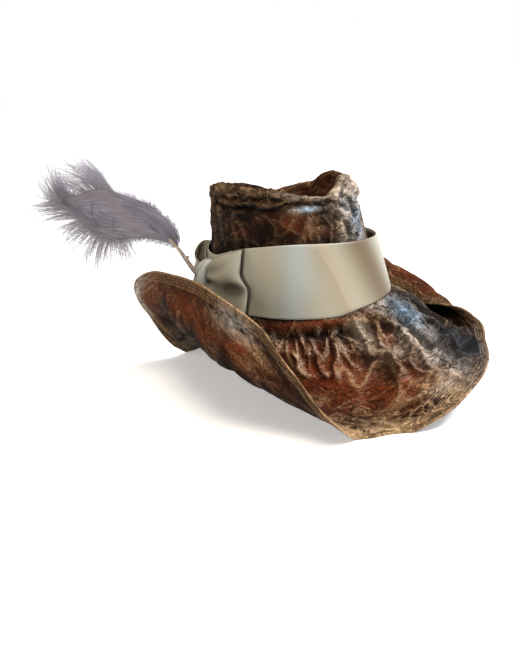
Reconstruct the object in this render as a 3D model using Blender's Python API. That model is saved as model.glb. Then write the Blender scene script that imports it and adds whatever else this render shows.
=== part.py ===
"""A crushed velvet fedora: dented crown, wide brim rolled up at both sides, ribbon band, bow and a plume.

Metres, +Z up. The hat stands on the lowest stretches of its brim. The origin is under the middle of its box.
Its front looks along -Y, and the wearer's right is at -X. Angles run round the crown in degrees, from the
front towards the wearer's right. Heights go up from the base line, where the crown meets the brim.
"""

import math

import bmesh
import bpy
import numpy as np

# Driving dimensions
CROWN_LENGTH = 0.206
CROWN_WIDTH = 0.174
BASE_HEIGHT = 0.098
CROWN_CLOTH = 0.0025
BRIM_CLOTH = 0.0028
RIBBON_CLOTH = 0.0010
GAP = 0.0003
SOFT_GAP = 0.0009

# Crown: a tapering side, a rolled lip that rises and falls, and a dent inside it
FOOT_HEIGHT = 0.009
DENT_FLOOR = 0.083
CROWN_LEAN = 0.003
CROWN_LEAN_ANGLE = 140.0
CROWN_STEPS = 54
FOLD_FADE = 1 / 3

SIDE_COLUMNS = ("height", "share")
SIDE = (
    (0.000, 1.010),
    (0.019, 0.978),
    (0.040, 0.910),
    (0.066, 0.842),
)

RIM_COLUMNS = ("angle", "height")
RIM = (
    (4, 0.1270),
    (12, 0.1165),
    (20, 0.1095),
    (31, 0.1115),
    (45, 0.1165),
    (58, 0.1205),
    (72, 0.1260),
    (90, 0.1280),
    (110, 0.1280),
    (128, 0.1245),
    (145, 0.1205),
    (170, 0.1165),
    (193, 0.1110),
    (210, 0.1045),
    (222, 0.1020),
    (237, 0.1062),
    (258, 0.1095),
    (271, 0.1180),
    (284, 0.1215),
    (298, 0.1200),
    (315, 0.1135),
    (333, 0.1110),
    (347, 0.1180),
    (356, 0.1255),
)

# The lip's section, from its crease over the top and down its inner side.
# Rows: depth below the rim, share of the oval
LIP = (
    (0.030, 0.818),
    (0.022, 0.812),
    (0.015, 0.792),
    (0.008, 0.812),
    (0.002, 0.800),
    (0.000, 0.772),
    (0.004, 0.732),
    (0.011, 0.700),
)

# The dent's floor. Rows: share of the oval, share of the drop from the lip down to the floor
DENT = (
    (0.56, 0.62),
    (0.38, 0.86),
    (0.18, 0.97),
)

# Folds that climb the crown.
# Rows: angle at the bottom, angle at the top, lowest height, highest height, rise, half width
CROWN_FOLDS = (
    (30, 12, 0.070, 0.104, -0.0030, 0.009),
    (52, 62, 0.066, 0.096, 0.0028, 0.009),
    (88, 74, 0.070, 0.104, -0.0030, 0.008),
    (112, 120, 0.066, 0.108, 0.0030, 0.010),
    (345, 338, 0.066, 0.100, 0.0028, 0.009),
    (318, 326, 0.070, 0.104, -0.0030, 0.008),
    (205, 195, 0.066, 0.100, 0.0030, 0.010),
    (262, 270, 0.070, 0.104, -0.0028, 0.010),
)

# Brim: at each angle the cloth leaves the crown at one slope and turns, part way out, to its rim's slope
COLLAR_HEIGHT = 0.009
BEND_LENGTH = 0.008
BEND_STEPS = 8
SETTLE_BLEND = 0.0012

# Steps of the mesh round the brim, closer where the form turns fast. Rows: from angle, to angle, steps
BRIM_SPANS = (
    (0, 28, 5),
    (28, 56, 11),
    (56, 144, 14),
    (144, 168, 6),
    (168, 230, 9),
    (230, 252, 8),
    (252, 308, 9),
    (308, 338, 11),
    (338, 360, 4),
)
# Steps of the mesh from the crown to the rim, as shares of the brim's width
BRIM_SHARES = (0.00, 0.06, 0.14, 0.24, 0.34, 0.44, 0.53, 0.61, 0.69, 0.77, 0.85, 0.92, 0.965, 1.00)
SECTION_STEPS = 60

BRIM_COLUMNS = ("angle", "width", "slope_in", "slope_rim", "turn_at", "turn_length")
BRIM = (
    (0, 0.136, -37, -26, 0.50, 0.90),
    (14, 0.142, -43, -34, 0.50, 0.90),
    (28, 0.141, -54, -46, 0.50, 0.90),
    (36, 0.136, -54, -24, 0.80, 0.50),
    (44, 0.144, -53, 40, 0.78, 0.50),
    (53, 0.153, -52, 96, 0.70, 0.50),
    (64, 0.162, -50, 118, 0.59, 0.50),
    (80, 0.156, -46, 120, 0.53, 0.60),
    (100, 0.129, -45, 118, 0.48, 0.70),
    (120, 0.112, -43, 108, 0.46, 0.70),
    (137, 0.109, -41, 90, 0.46, 0.70),
    (149, 0.114, -41, 62, 0.50, 0.80),
    (160, 0.102, -43, 8, 0.55, 0.80),
    (170, 0.115, -51, -44, 0.55, 0.80),
    (182, 0.134, -54, -48, 0.55, 0.80),
    (198, 0.136, -54, -48, 0.55, 0.80),
    (216, 0.136, -54, -47, 0.55, 0.80),
    (227, 0.127, -48, -14, 0.58, 0.80),
    (237, 0.121, -40, 64, 0.62, 0.78),
    (249, 0.142, -32, 168, 0.67, 0.74),
    (264, 0.165, -25, 244, 0.69, 0.74),
    (280, 0.161, -32, 253, 0.71, 0.70),
    (295, 0.156, -36, 252, 0.74, 0.64),
    (307, 0.144, -39, 240, 0.77, 0.56),
    (316, 0.127, -38, 205, 0.82, 0.46),
    (323, 0.110, -38, 102, 0.86, 0.38),
    (330, 0.114, -36, 14, 0.80, 0.40),
    (338, 0.120, -36, -18, 0.65, 0.50),
    (347, 0.128, -35, -25, 0.50, 0.60),
)

# Folds across the brim.
# Rows: angle at the crown, angle at the rim, share where it starts, share where it ends, rise, half width
BRIM_FOLDS = (
    (20, 18, 0.06, 0.62, 0.0040, 0.010),
    (9, 2, 0.10, 0.95, 0.0045, 0.011),
    (352, 6, 0.08, 0.90, -0.0035, 0.011),
    (342, 345, 0.20, 0.85, 0.0035, 0.012),
    (32, 30, 0.15, 0.60, -0.0035, 0.010),
    (53, 51, 0.10, 0.48, 0.0030, 0.010),
    (75, 78, 0.30, 0.95, 0.0030, 0.012),
    (110, 114, 0.25, 0.95, -0.0030, 0.012),
    (196, 204, 0.15, 0.80, 0.0040, 0.014),
    (236, 240, 0.20, 0.85, 0.0035, 0.014),
    (290, 296, 0.10, 0.60, 0.0035, 0.013),
)

# Ribbon band: a cone of ribbon that rests on the brim and stands off the crown at its top edge
BAND_FOOT_SHARE = 1.045
BAND_TOP_SHARE = 0.925
BAND_TOP_COLUMNS = ("angle", "height")
BAND_TOP = (
    (0, 0.0640),
    (50, 0.0680),
    (75, 0.0660),
    (90, 0.0635),
    (105, 0.0580),
    (122, 0.0530),
    (142, 0.0535),
    (162, 0.0580),
    (185, 0.0610),
    (260, 0.0600),
    (320, 0.0610),
)

# Bow: each loop leaves the knot close to the band, folds, and comes back on the outside.
# Rows: turn from the knot in degrees, distance off the band, lowest and highest share of the band's height
KNOT_ANGLE = 126.0
LOOP = (
    (4.8, 0.0005, 0.26, 0.80),
    (14.0, 0.0009, 0.14, 0.90),
    (26.0, 0.0010, 0.06, 0.97),
    (38.0, 0.0010, 0.02, 0.99),
    (42.4, 0.0050, 0.01, 0.99),
    (39.6, 0.0096, 0.02, 0.98),
    (28.0, 0.0116, 0.06, 0.95),
    (17.0, 0.0104, 0.13, 0.89),
    (4.8, 0.0052, 0.28, 0.78),
)
LOOP_FINE = 2
LOOP_ACROSS = 7
PLEATS = 2.5
PLEAT_DEPTH = 0.0012
NEAR_LOOP_REACH = 1.0
FAR_LOOP_REACH = 0.85

# Knot. Rows: share of the band's height, half width in degrees, distance off the band
KNOT = (
    (0.10, 2.6, 0.0060),
    (0.18, 3.8, 0.0110),
    (0.38, 4.4, 0.0145),
    (0.60, 4.4, 0.0145),
    (0.80, 3.9, 0.0120),
    (0.90, 2.6, 0.0065),
)
KNOT_SIDES = 14
KNOT_ROUNDNESS = 0.7

# Feather: the rachis curves out from the knot in one upright plane, and the locks fan out to both sides of it
FEATHER_TURN = 4.1
FEATHER_HEADING = (-0.30, 0.954)
FEATHER_STAND_OFF = 0.0102
QUILL_RADIUS = 0.0018
QUILL_TIP_RADIUS = 0.0012
QUILL_SIDES = 6
VANE_CLOTH = 0.0026
LOCK_CLOTH = 0.0020
LOCK_STEPS = 4
LOCK_TAPER = 0.7
LOCK_CURL = 0.45
TANGENT_STEP = 0.02
QUILL_END = 0.97
QUILL_RINGS = 10
RACHIS_FINE = 6
VANE_FINE = 2

# The rachis's curve in that plane. Rows: level distance from the knot, height
RACHIS = (
    (0.000, 0.030),
    (0.012, 0.046),
    (0.026, 0.064),
    (0.052, 0.087),
    (0.087, 0.101),
    (0.122, 0.106),
    (0.160, 0.109),
)

# Vane. Rows: share of the rachis, width above it, width below it, how far it bows out of its plane
VANE = (
    (0.16, 0.003, 0.002, 0.000),
    (0.24, 0.016, 0.004, 0.001),
    (0.38, 0.022, 0.013, 0.003),
    (0.55, 0.022, 0.023, 0.004),
    (0.72, 0.022, 0.031, 0.003),
    (0.88, 0.022, 0.026, 0.001),
    (1.00, 0.012, 0.012, -0.002),
)

# Locks of barbs. Rows: share of the rachis where it starts, its tip's level distance and height,
# lift off the plane, root width
LOCKS = (
    (0.46, 0.080, 0.050, 0.006, 0.018),
    (0.54, 0.098, 0.041, -0.005, 0.018),
    (0.62, 0.115, 0.037, 0.007, 0.018),
    (0.70, 0.134, 0.038, -0.006, 0.018),
    (0.77, 0.154, 0.048, 0.005, 0.018),
    (0.84, 0.175, 0.061, -0.007, 0.018),
    (0.90, 0.190, 0.076, 0.006, 0.016),
    (0.95, 0.201, 0.094, -0.004, 0.016),
    (0.96, 0.202, 0.112, 0.006, 0.016),
    (0.94, 0.196, 0.128, -0.006, 0.016),
    (0.89, 0.187, 0.141, 0.005, 0.018),
    (0.83, 0.172, 0.150, -0.006, 0.018),
    (0.76, 0.155, 0.154, 0.007, 0.018),
    (0.69, 0.134, 0.154, -0.005, 0.018),
    (0.61, 0.114, 0.142, 0.006, 0.018),
)

# Looks: name, linear red, green and blue, roughness
SHARP_EDGE = 50
VELVET = ("brown_velvet", (0.060, 0.020, 0.009), 0.75)
SATIN = ("champagne_satin", (0.330, 0.280, 0.190), 0.35)
BARBS = ("mauve_barbs", (0.260, 0.230, 0.250), 0.80)


def column(table, names, name):
    """One named column of a table, as an array."""
    return np.array([row[names.index(name)] for row in table], dtype=float)


def ring_value(table, names, name, angle):
    """Reads a named column at any angle, on a closed smooth curve that never overshoots the rows."""
    xs, ys = column(table, names, "angle"), column(table, names, name)
    xs = np.concatenate([xs[-2:] - 360.0, xs, xs[:2] + 360.0])
    ys = np.concatenate([ys[-2:], ys, ys[:2]])
    steps = np.diff(xs)
    rates = np.diff(ys) / steps
    tangents = np.zeros_like(ys)
    for i in range(1, len(ys) - 1):
        before, after = rates[i - 1], rates[i]
        if before * after > 0:
            near, far = 2 * steps[i] + steps[i - 1], steps[i] + 2 * steps[i - 1]
            tangents[i] = (near + far) / (near / before + far / after)
    x = angle % 360.0
    i = int(np.clip(np.searchsorted(xs, x, side="right") - 1, 1, len(xs) - 3))
    t = (x - xs[i]) / steps[i]
    start, end = ys[i] + 0.0, ys[i + 1] + 0.0
    lead, trail = steps[i] * tangents[i], steps[i] * tangents[i + 1]
    ease = t * t * (3 - 2 * t)
    return start + (end - start) * ease + t * (1 - t) ** 2 * lead - t * t * (1 - t) * trail


def line_value(table, names, across, name, x):
    """Reads a named column on straight lines between the rows."""
    return float(np.interp(x, column(table, names, across), column(table, names, name)))


def direction(angle):
    """The level unit vector that points out from the crown's middle at an angle."""
    a = math.radians(angle)
    return np.array([-math.sin(a), -math.cos(a)])


def oval(angle):
    """The crown's outer radius at its foot."""
    along, out = direction(angle)[1], direction(angle)[0]
    return 1.0 / math.hypot(along / (CROWN_LENGTH / 2), out / (CROWN_WIDTH / 2))


def place(angle, radius, height):
    """A point at an angle, radius and height, in the hat's frame with z = 0 under the brim."""
    x, y = direction(angle) * radius
    return np.array([x, y, BASE_HEIGHT + height])


def turns(count):
    return [360.0 * i / count for i in range(count)]


def angle_between(a, b):
    """The signed turn from b to a, in degrees."""
    return (a - b + 180.0) % 360.0 - 180.0


def bump(x):
    """A smooth rounded bump, one in the middle and almost nothing beyond 2."""
    return math.exp(-x * x)


def window(x, start, end, soft):
    """One between start and end, fading to nothing over a soft stretch inside each."""
    up = min(max((x - start) / soft, 0.0), 1.0)
    down = min(max((end - x) / soft, 0.0), 1.0)
    return up * up * (3 - 2 * up) * down * down * (3 - 2 * down)


# Crown

def side_share(height):
    return line_value(SIDE, SIDE_COLUMNS, "height", "share", height)


def crown_relief(angle, height, radius):
    """How far the crown's folds lift its cloth at one place."""
    total = 0.0
    for low_angle, high_angle, low, high, rise, width in CROWN_FOLDS:
        climb = (height - low) / (high - low)
        middle = low_angle + angle_between(high_angle, low_angle) * climb
        across = math.radians(angle_between(angle, middle)) * radius
        total += rise * bump(across / width) * window(height, low, high, (high - low) * FOLD_FADE)
    return total


def crown_column(angle):
    """The crown's outer points at one angle, from its foot over the lip to the dent."""
    rim = ring_value(RIM, RIM_COLUMNS, "height", angle)
    rows = [(FOOT_HEIGHT, side_share(FOOT_HEIGHT))] + [row for row in SIDE if row[0] > FOOT_HEIGHT]
    rows += [(rim - below, share) for below, share in LIP]
    lip_end = rows[-1][0]
    rows += [(lip_end + (DENT_FLOOR - lip_end) * drop, share) for share, drop in DENT]
    lean = direction(CROWN_LEAN_ANGLE) * CROWN_LEAN
    collar_top = FOOT_HEIGHT + COLLAR_HEIGHT
    points = []
    for height, share in rows:
        radius = oval(angle) * share
        if share > LIP[-1][1]:
            radius += crown_relief(angle, height, radius)
        point = place(angle, radius, height)
        point[:2] += lean * np.clip((height - collar_top) / (BAND_TOP[0][1] - collar_top), 0.0, 1.0)
        points.append(point)
    return points


# Brim

def collar_radius(angle, height):
    """The radius of the collar's inner face, which stands inside the crown's foot."""
    return oval(angle) * side_share(height) - CROWN_CLOTH - BRIM_CLOTH - SOFT_GAP


def brim_section(angle):
    """Radii, heights and slopes along the brim's underside at one angle, from the crown's foot to the rim."""
    width, slope_in, slope_rim, turn_at, turn_length = (
        ring_value(BRIM, BRIM_COLUMNS, name, angle) for name in BRIM_COLUMNS[1:]
    )
    bend = np.linspace(0.0, 1.0, BEND_STEPS + 1)
    shares = np.linspace(0.0, 1.0, SECTION_STEPS + 1)
    turned = np.clip((shares - turn_at) / turn_length + 0.5, 0.0, 1.0)
    turned = turned * turned * (3 - 2 * turned)
    slopes = np.concatenate([-90 + (slope_in + 90) * bend, (slope_in + (slope_rim - slope_in) * turned)[1:]])
    slopes = np.radians(slopes)
    lengths = [BEND_LENGTH / BEND_STEPS] * BEND_STEPS + [width / SECTION_STEPS] * SECTION_STEPS
    middle = (slopes[1:] + slopes[:-1]) / 2
    radii = collar_radius(angle, FOOT_HEIGHT) + np.concatenate([[0.0], np.cumsum(np.cos(middle) * lengths)])
    heights = FOOT_HEIGHT - GAP + np.concatenate([[0.0], np.cumsum(np.sin(middle) * lengths)])
    path = np.concatenate([-BEND_LENGTH / width * (1 - bend), shares[1:]])
    return path, radii, heights, slopes


def brim_relief(angle, share, radius):
    """How far the brim's folds lift its cloth at one place."""
    total = 0.0
    for crown_angle, rim_angle, start, end, rise, width in BRIM_FOLDS:
        middle = crown_angle + angle_between(rim_angle, crown_angle) * share
        across = math.radians(angle_between(angle, middle)) * radius
        total += rise * bump(across / width) * window(share, start, end, (end - start) * FOLD_FADE)
    return total


def settle(z):
    """Lays what would reach below the surface flat on it, with a soft bend where the cloth meets it."""
    if z >= SETTLE_BLEND:
        return z
    if z <= -SETTLE_BLEND:
        return 0.0
    return (z + SETTLE_BLEND) ** 2 / (4 * SETTLE_BLEND)


def brim_column(angle):
    """The brim's underside at one angle, from the collar's top to the rim."""
    path, radii, heights, slopes = brim_section(angle)
    top = FOOT_HEIGHT + COLLAR_HEIGHT
    points = [place(angle, collar_radius(angle, top), top)]
    start = path[0]
    for share in (start, start / 2) + BRIM_SHARES:
        radius, height = np.interp(share, path, radii), np.interp(share, path, heights)
        slope = np.interp(share, path, slopes)
        lift = brim_relief(angle, share, radius)
        point = place(angle, radius - math.sin(slope) * lift, height + math.cos(slope) * lift)
        point[2] = settle(point[2])
        points.append(point)
    return points


def brim_top_height(angle, radius):
    """The height of the brim's upper side at a radius, in the valley that it makes with the crown."""
    rows = [(math.hypot(x, y), z - BASE_HEIGHT) for x, y, z in brim_column(angle)[1:6]]
    highest = -BASE_HEIGHT
    for (near, start), (far, end) in zip(rows, rows[1:]):
        slope = math.atan2(end - start, far - near)
        highest = max(highest, start + (radius - near) * math.tan(slope) + BRIM_CLOTH / math.cos(slope))
    return highest


# Band and bow

def band_foot(angle):
    """The height of the band's foot, where its inner corner comes nearest to the brim."""
    return brim_top_height(angle, oval(angle) * BAND_FOOT_SHARE) + SOFT_GAP


def band_height(angle, share):
    top = ring_value(BAND_TOP, BAND_TOP_COLUMNS, "height", angle)
    foot = band_foot(angle)
    return foot + (top - foot) * share


def band_radius(angle, share):
    return oval(angle) * (BAND_FOOT_SHARE + (BAND_TOP_SHARE - BAND_FOOT_SHARE) * share)


def band_column(angle):
    """The band's inner face at one angle."""
    return [place(angle, band_radius(angle, share), band_height(angle, share)) for share in (0.0, 0.5, 1.0)]


def on_band(angle, share, stand_off):
    """A point at a height share of the band, standing off its outer face."""
    radius = band_radius(angle, share) + RIBBON_CLOTH + stand_off
    return place(angle, radius, band_height(angle, share))


def smooth_rows(rows, fine):
    """Points on a Catmull-Rom curve through the rows of a table."""
    rows = [np.array(row, dtype=float) for row in rows]
    rows = [2 * rows[0] - rows[1]] + rows + [2 * rows[-1] - rows[-2]]
    out = []
    for a, b, c, d in zip(rows, rows[1:], rows[2:], rows[3:]):
        for k in range(fine):
            t = k / fine
            out.append(0.5 * (2 * b + (c - a) * t + (2 * a - 5 * b + 4 * c - d) * t * t
                              + (3 * b - a - 3 * c + d) * t ** 3))
    return out + [rows[-2]]


def loop_columns(side, reach):
    """A bow loop's ribbon: a column of points across the ribbon for each step along it."""
    start, fold = LOOP[0][0], max(row[0] for row in LOOP)
    columns = []
    for turn, stand_off, low, high in smooth_rows(LOOP, LOOP_FINE):
        gather = (fold - turn) / (fold - start)
        angle = KNOT_ANGLE + side * (start + (turn - start) * reach)
        points = []
        for k in range(LOOP_ACROSS):
            across = k / (LOOP_ACROSS - 1)
            pleat = PLEAT_DEPTH * gather * (1 - math.cos(2 * math.pi * PLEATS * across))
            points.append(on_band(angle, low + (high - low) * across, stand_off + pleat))
        columns.append(points)
    return columns


def knot_rings():
    """The knot's level rings: a flat back beside the band and a bulging front."""
    rings = []
    for share, half_angle, stand_off in KNOT:
        ring = []
        for i in range(KNOT_SIDES):
            a = 2 * math.pi * i / KNOT_SIDES
            out = max(0.0, math.sin(a)) ** KNOT_ROUNDNESS
            ring.append(on_band(KNOT_ANGLE - half_angle * math.cos(a), share, 2 * GAP + stand_off * out))
        rings.append(ring)
    return rings


# Feather

def feather_frame():
    """The root of the quill, the level heading of its plane and the plane's normal."""
    share = RACHIS[0][1] / BAND_TOP[1][1]
    root = on_band(KNOT_ANGLE + FEATHER_TURN, share, FEATHER_STAND_OFF)
    heading = np.array([*FEATHER_HEADING, 0.0])
    heading /= np.linalg.norm(heading)
    return root, heading, np.cross(heading, (0.0, 0.0, 1.0))


def feather_point(along, height, lift):
    root, heading, normal = feather_frame()
    point = root + heading * along + normal * lift
    point[2] = BASE_HEIGHT + height
    return point


def rachis_at(share):
    """The place on the rachis at a share of its length, as along and height."""
    points = np.array(smooth_rows(RACHIS, RACHIS_FINE))
    lengths = np.concatenate([[0.0], np.cumsum(np.linalg.norm(np.diff(points, axis=0), axis=1))])
    at = share * lengths[-1]
    return np.array([np.interp(at, lengths, points[:, 0]), np.interp(at, lengths, points[:, 1])])


def rachis_side(share):
    """The unit vector that points up off the rachis in its plane."""
    ahead = rachis_at(min(share + TANGENT_STEP, 1.0)) - rachis_at(max(share - TANGENT_STEP, 0.0))
    ahead /= np.linalg.norm(ahead)
    return np.array([-ahead[1], ahead[0]])


def vane_columns():
    columns = []
    for share, above, below, bow in smooth_rows(VANE, VANE_FINE):
        middle, side = rachis_at(share), rachis_side(share)
        points = []
        for reach in (-below, -below * 0.5, 0.0, above * 0.5, above):
            edge = abs(reach) / max(above, below)
            points.append(feather_point(*(middle + side * reach), bow * (1 - edge * edge)))
        columns.append(points)
    return columns


def lock_columns(root, tip_along, tip_height, lift, width):
    """One lock of barbs: a tapering strip that starts beyond the rachis and curls to its tip."""
    start, tip = rachis_at(root), np.array([tip_along, tip_height])
    ahead = rachis_at(root + TANGENT_STEP) - start
    ahead /= np.linalg.norm(ahead)
    control = start + ahead * np.linalg.norm(tip - start) * LOCK_CURL
    columns = []
    for k in range(LOCK_STEPS + 1):
        t = k / LOCK_STEPS
        middle = (1 - t) ** 2 * start + 2 * t * (1 - t) * control + t * t * tip
        heading = (1 - t) * (control - start) + t * (tip - control)
        heading /= np.linalg.norm(heading)
        across = np.array([-heading[1], heading[0]]) * width * (1 - LOCK_TAPER * t) / 2
        columns.append([feather_point(*(middle + across * side), lift * t * t) for side in (-1, 1)])
    return columns


def quill_rings():
    rings = []
    for k in range(QUILL_RINGS + 1):
        share = QUILL_END * k / QUILL_RINGS
        middle, side = rachis_at(share), rachis_side(share)
        radius = QUILL_RADIUS + (QUILL_TIP_RADIUS - QUILL_RADIUS) * share
        ring = []
        for i in range(QUILL_SIDES):
            a = 2 * math.pi * i / QUILL_SIDES
            ring.append(feather_point(*(middle + side * radius * math.cos(a)), radius * math.sin(a)))
        rings.append(ring)
    return rings


# Meshes and objects

def make_object(name, bm, look):
    """Turns a mesh into a smooth-shaded object with its own material."""
    mesh = bpy.data.meshes.new(name)
    bm.to_mesh(mesh)
    bm.free()
    mesh.shade_smooth()
    mesh.set_sharp_from_angle(angle=math.radians(SHARP_EDGE))
    material_name, colour, roughness = look
    material = bpy.data.materials.new(f"{name}_{material_name}")
    material.use_nodes = True
    shader = material.node_tree.nodes["Principled BSDF"]
    shader.inputs["Base Color"].default_value = (*colour, 1.0)
    shader.inputs["Roughness"].default_value = roughness
    shader.inputs["Metallic"].default_value = 0.0
    mesh.materials.append(material)
    obj = bpy.data.objects.new(name, mesh)
    bpy.context.scene.collection.objects.link(obj)
    return obj


def grid_mesh(columns, closed, pole=None):
    """A sheet through columns of points, open or closed into a ring, with a fan to a pole at their ends."""
    bm = bmesh.new()
    verts = [[bm.verts.new(point) for point in points] for points in columns]
    tip = bm.verts.new(pole) if pole is not None else None
    pairs = zip(verts, verts[1:] + verts[:1]) if closed else zip(verts, verts[1:])
    for here, there in pairs:
        for a, b, c, d in zip(here, there, there[1:], here[1:]):
            bm.faces.new((a, b, c, d))
        if tip:
            bm.faces.new((here[-1], there[-1], tip))
    return bm


def loft_mesh(rings):
    """A closed body through rings of points, with a flat cap at each end."""
    bm = bmesh.new()
    verts = [[bm.verts.new(point) for point in ring] for ring in rings]
    for low, high in zip(verts, verts[1:]):
        for i in range(len(low)):
            j = (i + 1) % len(low)
            bm.faces.new((low[i], low[j], high[j], high[i]))
    bm.faces.new(verts[0][::-1])
    bm.faces.new(verts[-1])
    bmesh.ops.recalc_face_normals(bm, faces=bm.faces)
    return bm


def sheet(name, columns, cloth, look, closed=False, pole=None, offset=1.0):
    """Cloth of an even thickness, grown from one of its faces along the face's normals."""
    obj = make_object(name, grid_mesh(columns, closed, pole), look)
    solidify = obj.modifiers.new("cloth", "SOLIDIFY")
    solidify.thickness = cloth
    solidify.offset = offset
    solidify.use_even_offset = True
    solidify.use_quality_normals = True
    return obj


def make_crown():
    columns = [crown_column(-angle) for angle in turns(CROWN_STEPS)]
    pole = place(0.0, 0.0, DENT_FLOOR)
    pole[:2] += direction(CROWN_LEAN_ANGLE) * CROWN_LEAN
    return sheet("crown", columns, CROWN_CLOTH, VELVET, closed=True, pole=pole, offset=-1.0)


def make_brim():
    columns = []
    for from_angle, to_angle, steps in BRIM_SPANS:
        columns += [brim_column(from_angle + (to_angle - from_angle) * i / steps) for i in range(steps)]
    return sheet("brim", columns, BRIM_CLOTH, VELVET, closed=True, offset=1.0)


def make_band():
    columns = [band_column(-angle) for angle in turns(CROWN_STEPS)]
    return sheet("ribbon_band", columns, RIBBON_CLOTH, SATIN, closed=True, offset=1.0)


def make_bow():
    sheet("bow_loop_near", loop_columns(-1.0, NEAR_LOOP_REACH), RIBBON_CLOTH, SATIN, offset=1.0)
    sheet("bow_loop_far", loop_columns(1.0, FAR_LOOP_REACH), RIBBON_CLOTH, SATIN, offset=-1.0)
    make_object("bow_knot", loft_mesh(knot_rings()), SATIN)


def make_feather():
    """The vane, with the quill and every lock fused to it by one union."""
    added = bpy.data.collections.new("feather_locks")
    bpy.context.scene.collection.children.link(added)
    strips = [make_object("quill", loft_mesh(quill_rings()), BARBS)]
    for number, row in enumerate(LOCKS, 1):
        strips.append(sheet(f"lock_{number}", lock_columns(*row), LOCK_CLOTH, BARBS, offset=0.0))
    for strip in strips:
        bpy.context.scene.collection.objects.unlink(strip)
        added.objects.link(strip)
        strip.hide_render = True
        strip.display_type = "WIRE"
    feather = sheet("feather", vane_columns(), VANE_CLOTH, BARBS, offset=0.0)
    union = feather.modifiers.new("union", "BOOLEAN")
    union.operation = "UNION"
    union.operand_type = "COLLECTION"
    union.collection = added
    union.solver = "EXACT"


def centre_on_origin():
    """Moves every object so that the origin lies under the middle of the whole hat's box."""
    depsgraph = bpy.context.evaluated_depsgraph_get()
    corners = []
    for obj in bpy.data.objects:
        if not obj.hide_render:
            corners += [tuple(corner) for corner in obj.evaluated_get(depsgraph).bound_box]
    low, high = np.min(corners, axis=0), np.max(corners, axis=0)
    for obj in bpy.data.objects:
        obj.location = (-(low[0] + high[0]) / 2, -(low[1] + high[1]) / 2, -low[2])


def main():
    for obj in list(bpy.data.objects):
        bpy.data.objects.remove(obj, do_unlink=True)
    make_crown()
    make_brim()
    make_band()
    make_bow()
    make_feather()
    centre_on_origin()


main()
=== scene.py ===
# %% [markdown]
# This lesson dresses a packed hat: a fedora of crushed brown velvet with a dented crown, a wide brim rolled
# up at both sides, a satin ribbon with a side bow, and one downy plume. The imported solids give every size
# and place. Here each piece is made again with the folds, the pile and the threads that the real one shows.
# Everything is in metres, and +Z is up. The front of the hat looks along -Y.

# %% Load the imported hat
import math

import bmesh
import bpy
import numpy as np
from mathutils import Matrix, Vector, noise


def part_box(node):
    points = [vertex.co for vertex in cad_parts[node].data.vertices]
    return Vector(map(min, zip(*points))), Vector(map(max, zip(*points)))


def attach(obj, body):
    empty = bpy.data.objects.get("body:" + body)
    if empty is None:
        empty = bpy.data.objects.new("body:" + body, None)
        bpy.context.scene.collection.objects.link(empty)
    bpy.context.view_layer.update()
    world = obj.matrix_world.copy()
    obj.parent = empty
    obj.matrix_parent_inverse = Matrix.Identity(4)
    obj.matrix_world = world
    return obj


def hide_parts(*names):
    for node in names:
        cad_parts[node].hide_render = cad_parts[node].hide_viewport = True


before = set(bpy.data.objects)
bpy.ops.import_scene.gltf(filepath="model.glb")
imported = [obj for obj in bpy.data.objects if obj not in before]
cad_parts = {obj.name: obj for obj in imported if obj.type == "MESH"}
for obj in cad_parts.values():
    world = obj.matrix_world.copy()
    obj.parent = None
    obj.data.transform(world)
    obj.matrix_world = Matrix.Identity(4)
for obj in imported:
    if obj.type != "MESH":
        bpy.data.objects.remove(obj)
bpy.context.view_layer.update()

# %% [markdown]
# The camera comes first, because every later choice is judged through it. The photograph was taken from the
# hat's front right, a little above the brim, with the hat leaning five degrees. The lens and a small shift
# put the middle of the crown's base on the same spot of the frame as in the photograph.

# %% Place the camera
BASE_HEIGHT = 0.098
band_low, band_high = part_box("ribbon_band")
MIDDLE = np.array([(band_low.x + band_high.x) / 2, (band_low.y + band_high.y) / 2, BASE_HEIGHT])

AZIMUTH, ELEVATION, LEAN = math.radians(-50), math.radians(15), math.radians(5)
DISTANCE, LENS_LENGTH, FRAME_SHIFT = 0.85, 43.1, -0.0538
back = Vector((
    math.sin(AZIMUTH) * math.cos(ELEVATION),
    -math.cos(AZIMUTH) * math.cos(ELEVATION),
    math.sin(ELEVATION),
))
level_right = Vector((math.cos(AZIMUTH), math.sin(AZIMUTH), 0.0))
level_up = back.cross(level_right)
lens_right = level_right * math.cos(LEAN) - level_up * math.sin(LEAN)
lens_up = level_up * math.cos(LEAN) + level_right * math.sin(LEAN)

camera = bpy.data.objects.new("camera", bpy.data.cameras.new("camera"))
camera.matrix_world = Matrix.Translation(Vector(MIDDLE) + back * DISTANCE) @ Matrix(
    (lens_right, lens_up, back)).transposed().to_4x4()
camera.data.lens = LENS_LENGTH
camera.data.shift_x = camera.data.shift_y = FRAME_SHIFT
bpy.context.scene.collection.objects.link(camera)
bpy.context.scene.camera = camera
print("camera:", [round(value, 3) for value in camera.location])

# %% [markdown]
# The hat is drawn in angles round the crown, from the front towards the right side as it is worn, and in
# distances along the cloth. These helpers read the form's tables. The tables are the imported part's own, so
# the fine cloth follows the same solid.

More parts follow.
